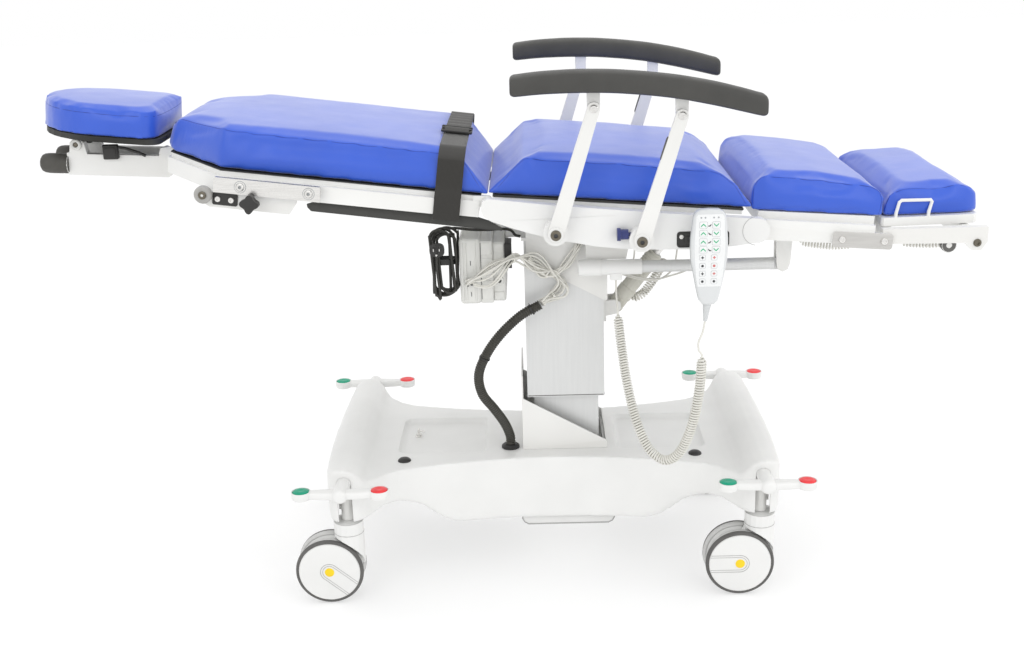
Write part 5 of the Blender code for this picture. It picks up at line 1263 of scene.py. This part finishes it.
X0, X1 = -0.1080, -0.0540
over = []
for i in range(27):
    y = -0.2480 + 0.4960 * i / 26
    over.append((y, pad_height(BACK_PAD, BACK, X0, X1, y) + 0.0016))
side_in = 0.2622
belt_line = [(-0.2755, -0.0480), (-0.2755, -0.0220), (-0.2752, 0.0000), (-0.2690, 0.0120), (-0.2640, 0.0220), (-side_in, 0.0420), (-0.2626, over[0][1] - 0.0160), (-0.2592, over[0][1] - 0.0040)]
belt_line = belt_line + over[1:-1] + [(-y, z) for y, z in reversed(belt_line)]
BELT = strap("belt_webbing", belt_line, X0, X1)
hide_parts("seat_belt")
tail = [(y, z + 0.0024 + (0.0030 if i % 2 else 0.0)) for i, (y, z) in enumerate(over) if -0.100 < y < 0.215]
tail = [(y, z) for y, z in tail]
strap("belt_tail", tail[2:], X0 + 0.001, X1 - 0.001)
clip = Batch("belt_buckle", "back", "black_plastic", 40)
zb = pad_height(BACK_PAD, BACK, X0, X1, -0.085) + 0.0052
ym = -0.085
clip.plate(rounded(-0.1140, -0.0480, ym - 0.0200, ym + 0.0200, 0.004), zb, zb + 0.0052, "xy", BACK, 0.0014,
           holes=[rounded(-0.1080, -0.0540, ym - 0.0150, ym - 0.0030, 0.0015, 3), rounded(-0.1080, -0.0540, ym + 0.0030, ym + 0.0150, 0.0015, 3)])
clip.box((-0.1125, ym - 0.0035, zb + 0.0040), (-0.0495, ym + 0.0035, zb + 0.0085), BACK, 0.0015, 2)
clip.box((-0.1140, ym + 0.0150, zb + 0.0020), (-0.0480, ym + 0.0215, zb + 0.0096), BACK, 0.0020, 2)
clip.done()
strap("belt_fold", [(ym - 0.0170, zb + 0.0024), (ym - 0.0060, zb + 0.0062), (ym + 0.0000, zb + 0.0098), (ym + 0.0070, zb + 0.0062), (ym + 0.0140, zb + 0.0010)], X0 + 0.001, X1 - 0.001)

# ---------------------------------------------------------------- armrests
PAD_TOP = [(0.0020, 1.1480), (0.0110, 1.1500), (0.0600, 1.1550), (0.1300, 1.1575), (0.2000, 1.1555), (0.2700, 1.1490), (0.3300, 1.1410), (0.4000, 1.1270), (0.4700, 1.1080), (0.4990, 1.0980)]
PAD_LOW = [(0.0020, 1.1085), (0.0600, 1.1130), (0.1300, 1.1140), (0.2000, 1.1120), (0.2700, 1.1055), (0.3300, 1.0970), (0.4000, 1.0820), (0.4600, 1.0670), (0.4990, 1.0570)]


def between(line, x):
    for (xa, za), (xb, zb_) in zip(line, line[1:]):
        if x <= xb:
            return za + (zb_ - za) * (x - xa) / (xb - xa)
    return line[-1][1]


for side, s in (("near", -1), ("far", 1)):
    rings, count, length = [], 64, 0.4955
    for i in range(count + 1):
        t = 0.5 - 0.5 * math.cos(math.pi * i / count)
        x = 0.0022 + length * t
        gap = min(t, 1 - t) * length
        e = math.sqrt(max(0.0, 1 - (1 - min(gap / 0.010, 1.0)) ** 2))
        zt = sum(between(PAD_TOP, min(max(x + dx, 0.002), 0.499)) for dx in (-0.02, -0.01, 0, 0.01, 0.02)) / 5
        zl = sum(between(PAD_LOW, min(max(x + dx, 0.002), 0.499)) for dx in (-0.02, -0.01, 0, 0.01, 0.02)) / 5
        mid, hh, hw = (zt + zl) / 2, (zt - zl) / 2 * (0.62 + 0.38 * e), 0.0284 * (0.80 + 0.20 * e)
        ring = []
        for k in range(36):
            a = 2 * math.pi * k / 36
            c, q = math.cos(a), math.sin(a)
            p = 0.56 if q >= 0 else 0.34
            ring.append(W(x, s * 0.3245 + hw * math.copysign(abs(c) ** 0.5, c), mid + hh * math.copysign(abs(q) ** p, q)))
        rings.append(ring)
    pad = piece("arm_rest_" + side, to_mesh("arm_rest_" + side, loft(rings)), "charcoal_pad", "pad_" + side, 60)
    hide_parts("arm_pad_" + side)
    lugs = Batch("arm_lugs_" + side, "pad_" + side, "white_coat", 40)
    pins = Batch("arm_pins_" + side, "pad_" + side, "steel", 40)
    for at_, zt in ((ARM_A, 1.116), (ARM_B, 1.100)):
        ux, uz = at_[0] + RISE[0], at_[1] + RISE[1]
        lo, hi = sorted((s * 0.3072, s * 0.3133))
        lugs.plate([(ux + S + 0.0130, zt), (ux + S - 0.0130, zt)] + [(u + S, v) for u, v in arc(ux, uz, 0.0125, 180, 360, 12)], lo, hi, "xz", bevel=0.0012)
        pins.turned([(0, 0.0060), (0.0022, 0.0060), (0.0026, 0.0076), (0.0062, 0.0078), (0.0078, 0.0066), (0.0082, 0.0048), (0.0050, 0.0046), (0.0050, -0.0090), (0, -0.0090)],
                    W(ux, s * 0.3195, uz), (0, s, 0), 28)
    lugs.done()
    pins.done()
    bolts = Batch("arm_bolts_" + side, "seat", "bronze", 40)
    rims = Batch("arm_washers_" + side, "seat", "white_coat", 40)
    sockets = Batch("arm_sockets_" + side, "seat", "key_dark", 40)
    for at_ in (ARM_A, ARM_B):
        bolts.turned([(0, 0.0024), (0.0042, 0.0024), (0.0046, 0.0058), (0.0088, 0.0060), (0.0102, 0.0052), (0.0108, 0.0036), (0.0108, 0.0), (0, 0.0)], W(at_[0], s * 0.3270, at_[1]), (0, s, 0), 32)
        rims.turned([(0.0078, 0.0028), (0.0128, 0.0026), (0.0150, 0.0014), (0.0156, 0.0002), (0.0078, 0.0)], W(at_[0], s * 0.3243, at_[1]), (0, s, 0), 40)
        sockets.turned([(0, 0.0012), (0.0044, 0.0012), (0.0044, -0.0004), (0, -0.0004)], W(at_[0], s * 0.3270 + s * 0.0016, at_[1]), (0, s, 0), 6)
    bolts.done()
    rims.done()
    sockets.done()
    stop = Batch("arm_bumper_" + side, "post_b_" + side, "rubber", 40)
    u = Vector((RISE[0], 0, RISE[1])).normalized()
    n = Vector((-u.z, 0, u.x))
    base = W(ARM_B[0], s * 0.319, ARM_B[1])
    run = [base + u * h + n * 0.0142 for h in (0.166, 0.170, 0.190, 0.210, 0.214)]
    stop.add(sweep(run, [0.0006, 0.0021, 0.0023, 0.0021, 0.0006], 12))
    stop.done()

# ---------------------------------------------------------------- seat panel details
for side, s in (("near", -1), ("far", 1)):
    if side == "near":
        slot = Batch("panel_slot", "seat", "black_plastic", 40)
        slot.plate(rounded(0.3310 + S, 0.4370 + S, 0.7900, 0.8235, 0.0070), -0.2872, -0.2850, "xz", bevel=0.0007,
                   holes=[rounded(0.3338 + S, 0.4342 + S, 0.7928, 0.8207, 0.0050)])
        slot.plate(rounded(0.3336 + S, 0.4344 + S, 0.7926, 0.8209, 0.0050), -0.2863, -0.2852, "xz", bevel=0.0003)
        slot.add(bevelled_box(W(0.3470, -0.2888, 0.7990), W(0.3600, -0.2858, 0.8140), 0.0014, 2))
        slot.done()
        screw = Batch("panel_screw", "seat", "steel", 40)
        screw.turned([(0, 0.0012), (0.0018, 0.0012), (0.0021, 0.0024), (0.0042, 0.0022), (0.0052, 0.0010), (0.0052, 0.0), (0, 0.0)], W(0.3405, -0.2863, 0.8125), (0, -1, 0), 24)
        screw.done()
    line = Batch("panel_lines_" + side, "seat", "grey_line", 60)
    run = [W(u, s * 0.2861, v) for u, v in arc(0.494, 0.821, 0.0300, 100, 262, 26)]
    line.add(sweep(run, 0.0006, 6))
    line.done()

# ---------------------------------------------------------------- control box
shell = Batch("control_shell", "lift", "cream_plastic", 40)
shell.add(bevelled_box(W(-0.1210, -0.1245, 0.6330), W(-0.0745, 0.0890, 0.7800), 0.0085, 4))
shell.add(bevelled_box(W(-0.0770, -0.1180, 0.6330), W(-0.0480, 0.0885, 0.7730), 0.0035, 3))
shell.add(bevelled_box(W(-0.0500, -0.1110, 0.6350), W(-0.0215, 0.0885, 0.7680), 0.0045, 3))
for dx in (-0.1140, -0.1068, -0.0862):
    shell.add(bevelled_box(W(dx - 0.0014, -0.1268, 0.6420), W(dx + 0.0014, -0.1235, 0.7710), 0.0008, 2))
for z0, z1 in ((0.6420, 0.6850), (0.6920, 0.7350), (0.7420, 0.7690)):
    shell.add(bevelled_box(W(-0.0738, -0.1198, z0), W(-0.0505, -0.1170, z1), 0.0012, 2))
for z in (0.6480, 0.7080, 0.7560):
    shell.add(bevelled_box(W(-0.0470, -0.1130, z - 0.0085), W(-0.0250, -0.1100, z + 0.0085), 0.0014, 2))
shell.turned([(0.0052, 0.0032), (0.0088, 0.0034), (0.0102, 0.0022), (0.0104, 0.0), (0.0050, 0.0), (0.0052, 0.0032)], W(-0.0360, -0.1112, 0.6820), (0, -1, 0), 32)
shell.done("control_box")
marks = Batch("control_slots_and_shade_lines", "lift", "key_dark", 40)
for z in (0.6560, 0.7260):
    marks.add(bevelled_box(W(-0.0975, -0.1250, z - 0.0050), W(-0.0960, -0.1236, z + 0.0050), 0.0003, 1))
# Two thin dark strips along the joints between the box's sections: painted shade lines.
for x, y in ((-0.0742, -0.1186), (-0.0490, -0.1116)):
    marks.add(bevelled_box(W(x - 0.0008, y, 0.6420), W(x + 0.0006, y + 0.0030, 0.7690), 0.0003, 1))
marks.turned([(0, 0.0010), (0.0046, 0.0010), (0.0050, 0.0), (0, 0.0)], W(-0.0360, -0.1114, 0.6820), (0, -1, 0), 24)
for x, z in ((-0.0990, 0.6870), (-0.1045, 0.6780), (-0.0955, 0.6800)):
    marks.turned([(0.0022, 0.0016), (0.0042, 0.0014), (0.0044, 0.0), (0.0022, 0.0)], W(x, -0.1246, z), (0, -1, 0), 18)
marks.done()
hold = Batch("box_strap", "lift", "black_plastic", 40)
hold.add(bevelled_box(W(-0.0230, -0.1150, 0.7100), W(-0.0070, -0.1128, 0.7640), 0.0008, 2))
hold.add(bevelled_box(W(-0.0225, -0.1150, 0.7600), W(-0.0075, -0.0600, 0.7645), 0.0008, 2))
hold.done()

# ---------------------------------------------------------------- boards under the cushions
board = Batch("seat_board", "seat", "black_coat", 40)
board.box((-0.1518, -0.2520, 0.0636), (0.3600, 0.2520, 0.0683), SEAT, 0.0008, 1)
board.done()
outline = [(-0.0145, -0.2555), (-0.5430, -0.2612), (-0.6775, -0.1246), (-0.6775, 0.1246), (-0.5430, 0.2612), (-0.0145, 0.2555)]
board = Batch("back_board", "back", "black_coat", 40)
board.plate(outline, 0.0058, 0.0082, "xy", BACK, 0.0004)
board.done()

# ---------------------------------------------------------------- back frame hardware
for side, s in (("near", -1), ("far", 1)):
    rings = Batch("rail_bolt_rings_" + side, "back", "key_line", 40)
    for xa in (-0.4950, -0.3580):
        rings.turned([(0.0108, 0.0004), (0.0122, 0.0004), (0.0122, -0.0004), (0.0108, -0.0004), (0.0108, 0.0004)], BACK @ Vector((xa, s * 0.2950, -0.0165)), (0, s, 0), 32)
        rings.turned([(0.0080, 0.0016), (0.0087, 0.0016), (0.0087, 0.0008), (0.0080, 0.0008), (0.0080, 0.0016)], BACK @ Vector((xa, s * 0.2950, -0.0165)), (0, s, 0), 32)
        rings.turned([(0, 0.0016), (0.0031, 0.0016), (0.0031, 0.0008), (0, 0.0008)], BACK @ Vector((xa, s * 0.2950, -0.0165)), (0, s, 0), 6)
    rings.done()
    bright = Batch("rail_bolts_" + side, "back", "steel", 40)
    for xa in (-0.4950, -0.3580):
        bright.turned([(0, 0.0012), (0.0030, 0.0012), (0.0034, 0.0046), (0.0066, 0.0046), (0.0078, 0.0034), (0.0080, 0.0014), (0.0110, 0.0013), (0.0114, 0.0006), (0.0114, -0.0004), (0, -0.0004)], BACK @ Vector((xa, s * 0.2950, -0.0165)), (0, s, 0), 28)
    bright.done()
    dark = Batch("roller_bolts_" + side, "back", "bronze", 40)
    dark.turned([(0, 0.0012), (0.0026, 0.0012), (0.0030, 0.0034), (0.0068, 0.0034), (0.0080, 0.0020), (0.0080, -0.0006), (0, -0.0006)], BACK @ Vector((-0.571, s * 0.2912, -0.042)), (0, s, 0), 24)
    dark.done()
    clamp = Batch("rail_bracket_" + side, "back", "black_plastic", 40)
    lo, hi = sorted((s * 0.2722, s * 0.2752))
    clamp.plate(rounded(-0.5540, -0.5030, -0.0620, -0.0370, 0.004), lo, hi, "xz", BACK, 0.0006)
    clamp.done()
    studs = Batch("bracket_bolts_" + side, "back", "steel", 40)
    for xa in (-0.5430, -0.5160):
        studs.turned([(0, 0.0010), (0.0022, 0.0010), (0.0026, 0.0032), (0.0054, 0.0030), (0.0062, 0.0016), (0.0064, -0.0004), (0, -0.0004)], BACK @ Vector((xa, s * 0.2752, -0.0500)), (0, s, 0), 24)
    studs.done()

# ---------------------------------------------------------------- leg and foot hardware
for side, s in (("near", -1), ("far", 1)):
    lo, hi = sorted((s * 0.2692, s * 0.2712))
    link = Batch("link_plates_" + side, "leg", "link_grey", 40)
    link.plate(rounded(0.1570, 0.2795, -0.0300, 0.0030, 0.006), lo, hi, "xz", LEG, 0.0006)
    link.done()
    bright = Batch("link_bolts_" + side, "leg", "steel", 40)
    for xa in (0.1760, 0.2620):
        bright.turned([(0, 0.0024), (0.0030, 0.0024), (0.0034, 0.0040), (0.0064, 0.0036), (0.0076, 0.0020), (0.0078, -0.0004), (0, -0.0004)], LEG @ Vector((xa, s * 0.2712, -0.0135)), (0, s, 0), 28)
    bright.done()
    dark = Batch("foot_bolts_" + side, "foot", "bronze", 40)
    dark.turned([(0, 0.0016), (0.0030, 0.0016), (0.0034, 0.0040), (0.0068, 0.0038), (0.0080, 0.0022), (0.0082, -0.0004), (0, -0.0004)], FOOT @ Vector((0.1890, s * 0.2615, -0.0130)), (0, s, 0), 28)
    dark.done()
    wheel = Batch("foot_rollers_" + side, "foot", "rubber", 40)
    wheel.turned([(0.0060, 0.0085), (0.0130, 0.0088), (0.0154, 0.0070), (0.0158, 0.0), (0.0154, -0.0070), (0.0130, -0.0088), (0.0060, -0.0085)], FOOT @ Vector((0.1360, s * 0.2420, -0.0200)), (0, s, 0), 36)
    wheel.done()


def coiled(name, matrix, body, a, b, radius, pitch):
    path = [matrix @ Vector(a), matrix @ (Vector(a).lerp(Vector(b), 0.33) + Vector((0, 0, -0.004))), matrix @ (Vector(a).lerp(Vector(b), 0.66) + Vector((0, 0, -0.005))), matrix @ Vector(b)]
    pts = helix(path, radius, pitch, 14, 0.012, 0.012)
    obj = piece(name, to_mesh(name, sweep(pts, 0.0019, 7)), "cable", body, 60)


coiled("leg_coil", LEG, "leg", (0.1010, -0.2200, -0.0330), (0.2170, -0.2200, -0.0330), 0.0078, 0.0062)
coiled("foot_coil", FOOT, "foot", (0.0450, -0.2150, -0.0190), (0.1630, -0.2150, -0.0190), 0.0076, 0.0066)

# ---------------------------------------------------------------- leg actuator's barrel
barrel = Batch("leg_drive_barrel", "seat", "white_plastic", 40)
barrel.turned([(0.0136, 0.0), (0.0136, 0.1370), (0.0157, 0.1370), (0.0165, 0.1362), (0.0165, 0.0500), (0.0176, 0.0490), (0.0178, 0.0480), (0.0178, 0.0050), (0.0168, 0.0014),
               (0.0150, 0.0), (0.0136, 0.0)], W(0.135, -0.150, 0.716), (1, 0, 0), 40)
barrel.box(W(0.2030, -0.1640, 0.6900), W(0.2290, -0.1490, 0.7060), bevel=0.0022, segments=3)
barrel.done("leg_actuator")

# ---------------------------------------------------------------- tilt actuator and the leads beside it
TILT = Vector((0.146, 0, 0.190)).normalized()
ram = Batch("tilt_ribs", "tilt_barrel", "actuator", 40)
foot_eye = W(0.226, 0, 0.590)
for i in range(5):
    h = 0.1020 + 0.0068 * i
    ram.turned([(0.0186, h), (0.0198, h + 0.0008), (0.0198, h + 0.0030), (0.0186, h + 0.0038), (0.0186, h)], foot_eye, TILT, 40)
ram.turned([(0.0186, 0.0205), (0.0205, 0.0220), (0.0205, 0.0470), (0.0186, 0.0490), (0.0186, 0.0205)], foot_eye, TILT, 40)
ram.turned([(0.0110, 0.1405), (0.0160, 0.1415), (0.0170, 0.1440), (0.0160, 0.1475), (0.0110, 0.1480), (0.0110, 0.1405)], foot_eye, TILT, 40)
ram.done()


def lead(name, points, a, b, near, far, diameter=0.0040, turns=None):
    """A thin lead between two sections; with turns it is wound in a coil of that radius and pitch."""
    pts = helix([W(*p) for p in points], turns[0], turns[1], 16, 0.014, 0.014) if turns else smooth([W(*p) for p in points], spacing=0.004)
    obj = piece(name, to_mesh(name, sweep(pts, diameter / 2, 8)), "cable", None, 60)
    if a == b:
        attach(obj, a)
    else:
        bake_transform(obj)
    return obj


lead("tilt_coil", [(0.2580, 0.0040, 0.6030), (0.2720, 0.0100, 0.6010), (0.2880, 0.0140, 0.6080), (0.3020, 0.0160, 0.6240), (0.3160, 0.0160, 0.6450), (0.3280, 0.0140, 0.6670),
                   (0.3330, 0.0080, 0.6830), (0.3255, 0.0020, 0.6900)], "tilt_barrel", "tilt_barrel", None, None, 0.0042, (0.0087, 0.0060))
lead("leg_lead", [(0.2008, -0.0350, 0.6895), (0.2150, -0.0440, 0.6840), (0.2590, -0.0450, 0.6665), (0.3086, -0.0420, 0.6564), (0.3477, -0.0520, 0.6674), (0.3817, -0.0800, 0.6884),
                  (0.4020, -0.1000, 0.7150), (0.4120, -0.1140, 0.7500), (0.4120, -0.1180, 0.7800), (0.4115, -0.1180, 0.7950)], "lift", "seat", (0.215, -0.04, 0.684), (0.405, -0.10, 0.720))
lead("foot_lead", [(0.2008, -0.0290, 0.6855), (0.2150, -0.0380, 0.6795), (0.2590, -0.0400, 0.6615), (0.3060, -0.0370, 0.6525), (0.3350, -0.0340, 0.6610), (0.3530, -0.0340, 0.6830),
                   (0.3600, -0.0340, 0.7200), (0.3615, -0.0340, 0.7700), (0.3615, -0.0340, 0.8100), (0.3615, -0.0340, 0.8555)], "lift", "seat", (0.215, -0.04, 0.680), (0.360, -0.034, 0.720))
lead("back_lead", [(0.2008, -0.0240, 0.6950), (0.2130, -0.0330, 0.6905), (0.2400, -0.0360, 0.6800), (0.2570, -0.0350, 0.6840), (0.2640, -0.0340, 0.7050), (0.2660, -0.0340, 0.7400),
                   (0.2665, -0.0340, 0.8000), (0.2665, -0.0340, 0.8630)], "lift", "seat", (0.213, -0.03, 0.690), (0.264, -0.034, 0.710))
dot = Batch("lift_arm_dots", "back", "steel", 40)
for s in (-1, 1):
    dot.turned([(0, 0.0008), (0.0030, 0.0008), (0.0038, 0.0002), (0.0038, -0.0006), (0, -0.0006)], W(-0.126, s * 0.2580, 0.855), (0, s, 0), 20)
dot.done()

# ---------------------------------------------------------------- head hardware
grips = Batch("head_grips", "head_frame", "grip", 50)
for s in (-1, 1):
    grips.turned([(0, -0.0010), (0.0196, -0.0010), (0.0214, 0.0020), (0.0218, 0.0100), (0.0214, 0.0130), (0.0218, 0.0160), (0.0219, 0.0340), (0.0216, 0.0450), (0.0204, 0.0525),
                  (0.0176, 0.0580), (0.0128, 0.0612), (0.0060, 0.0622), (0, 0.0624)], HEADF @ Vector((-0.2120, s * 0.0500, -0.0330)), HEADF.to_3x3() @ Vector((-1, 0, 0)), 40)
grips.done()
knobs = Batch("head_pivot_rings", "head_frame", "cream_plastic", 40)
centres = Batch("head_pivot_centres", "head_frame", "bronze", 40)
for s in (-1, 1):
    c = W(-0.942, s * 0.0602, 0.997)
    knobs.turned([(0.0052, 0.0040), (0.0060, 0.0072), (0.0098, 0.0078), (0.0120, 0.0064), (0.0126, 0.0), (0.0052, 0.0)], c, (0, s, 0), 36)
    centres.turned([(0, 0.0058), (0.0040, 0.0056), (0.0053, 0.0044), (0.0053, 0.0), (0, 0.0)], c, (0, s, 0), 24)
knobs.done()
centres.done()
block = Batch("head_latch", "head_frame", "black_plastic", 40)
block.add(bevelled_box(W(-0.8830, -0.0740, 0.9640), W(-0.8500, -0.0603, 0.9960), 0.003, 3))
block.add(bevelled_box(W(-0.8790, -0.0762, 0.9700), W(-0.8540, -0.0735, 0.9900), 0.0012, 2))
block.add(sweep([W(-0.8520, -0.0672, 0.9900), W(-0.8350, -0.0672, 0.9870), W(-0.8050, -0.0672, 0.9760), W(-0.7920, -0.0672, 0.9690)], 0.0032, 12))
block.done()


# ---------------------------------------------------------------- seams
def side_line(matrix, profile, y, low=0.0):
    return [matrix @ Vector((x, y, z - low)) for x, z in profile]


L = 0.0686
SEAT_EDGE = [(-0.1500, L + 0.0060), (-0.1270, L + 0.0400), (-0.1020, L + 0.0775), (-0.0880, L + 0.0830), (0.0000, L + 0.0845), (0.0950, L + 0.0848), (0.2000, L + 0.0820), (0.2850, L + 0.0785), (0.3090, L + 0.0718),
             (0.3380, L + 0.0500), (0.3640, L + 0.0100)]
seam("seat_seams", SEAT_PAD, [side_line(SEAT, SEAT_EDGE, s * 0.2572, 0.0010) for s in (-1, 1)], "seat")
B = 0.0083
EDGE = []
for s in (-1, 1):
    EDGE.append([BACK @ Vector(p) for p in ((-0.0110, s * 0.2575, B + 0.0060), (-0.0350, s * 0.2575, B + 0.0405), (-0.0600, s * 0.2575, B + 0.0765), (-0.0740, s * 0.2575, B + 0.0815),
                                            (-0.3000, s * 0.2575, B + 0.0840), (-0.5250, s * 0.2575, B + 0.0832), (-0.5470, s * 0.2500, B + 0.0828), (-0.6580, s * 0.1310, B + 0.0700),
                                            (-0.6740, s * 0.1030, B + 0.0540), (-0.6755, s * 0.0500, B + 0.0500), (-0.6755, 0.0, B + 0.0500))])
seam_back = seam("back_seams", BACK_PAD, EDGE, None)
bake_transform(seam_back)
DEE = arc(0.0650, 0.0, 0.1400, 90, 270, 24) + [(0.1100, -0.1385)] + arc(0.1620, -0.1030, 0.0330, -80, 0, 6) + arc(0.1620, 0.1030, 0.0330, 0, 80, 6) + [(0.1100, 0.1385)]
ring = [HEADR @ Vector((u * 0.985 + 0.001, v * 0.985, 0.0835)) for u, v in DEE]
seam("head_seams", HEAD_PAD, [ring + [ring[0]]], "head_rest")
LEG_EDGE = [(-0.0060, 0.0370), (-0.0100, 0.0470), (-0.0110, 0.0840), (0.0000, 0.1020), (0.0140, 0.1100), (0.0700, 0.1095), (0.1233, 0.1080), (0.2204, 0.0980), (0.2440, 0.0880), (0.2535, 0.0725), (0.2530, 0.0450), (0.2500, 0.0370)]
seam("leg_seams", LEG_PAD, [side_line(LEG, LEG_EDGE, s * 0.2492, 0.0010) for s in (-1, 1)], "leg")


def foot_y(x):
    return 0.2300 - (x + 0.0200) * 0.0160 / 0.2050 if x < 0.1850 else 0.2140 - (x - 0.1850) * 0.57


FOOT_EDGE = [(0.0045, 0.0430), (0.0045, 0.0560), (0.0122, 0.0835), (0.0240, 0.0912), (0.0400, 0.0975), (0.1000, 0.1000), (0.1600, 0.1018), (0.1850, 0.0950), (0.1985, 0.0830)]
seam("foot_seams", FOOT_PAD, [[FOOT @ Vector((x, s * (foot_y(x) - 0.0010), z - 0.0010)) for x, z in FOOT_EDGE] for s in (-1, 1)], "foot")


# ---------------------------------------------------------------- floor
def floor():
    bm = bmesh.new()
    bmesh.ops.create_grid(bm, x_segments=2, y_segments=2, size=14.0)
    mesh = to_mesh("floor", bm)
    obj = loose("floor", mesh)
    mat = material("pale_floor", (0.55, 0.55, 0.55), 0.75, vary=0.008, vary_scale=2.0, grain="noise", grain_scale=60, grain_depth=0.0001, grain_strength=0.1, spec=0.1)
    glow = mat.node_tree.nodes["Principled BSDF"]
    glow.inputs["Emission Color"].default_value = (1.0, 1.0, 1.0, 1.0)
    glow.inputs["Emission Strength"].default_value = 0.45
    mesh.materials.append(mat)
    obj.location.z = -0.0004


floor()
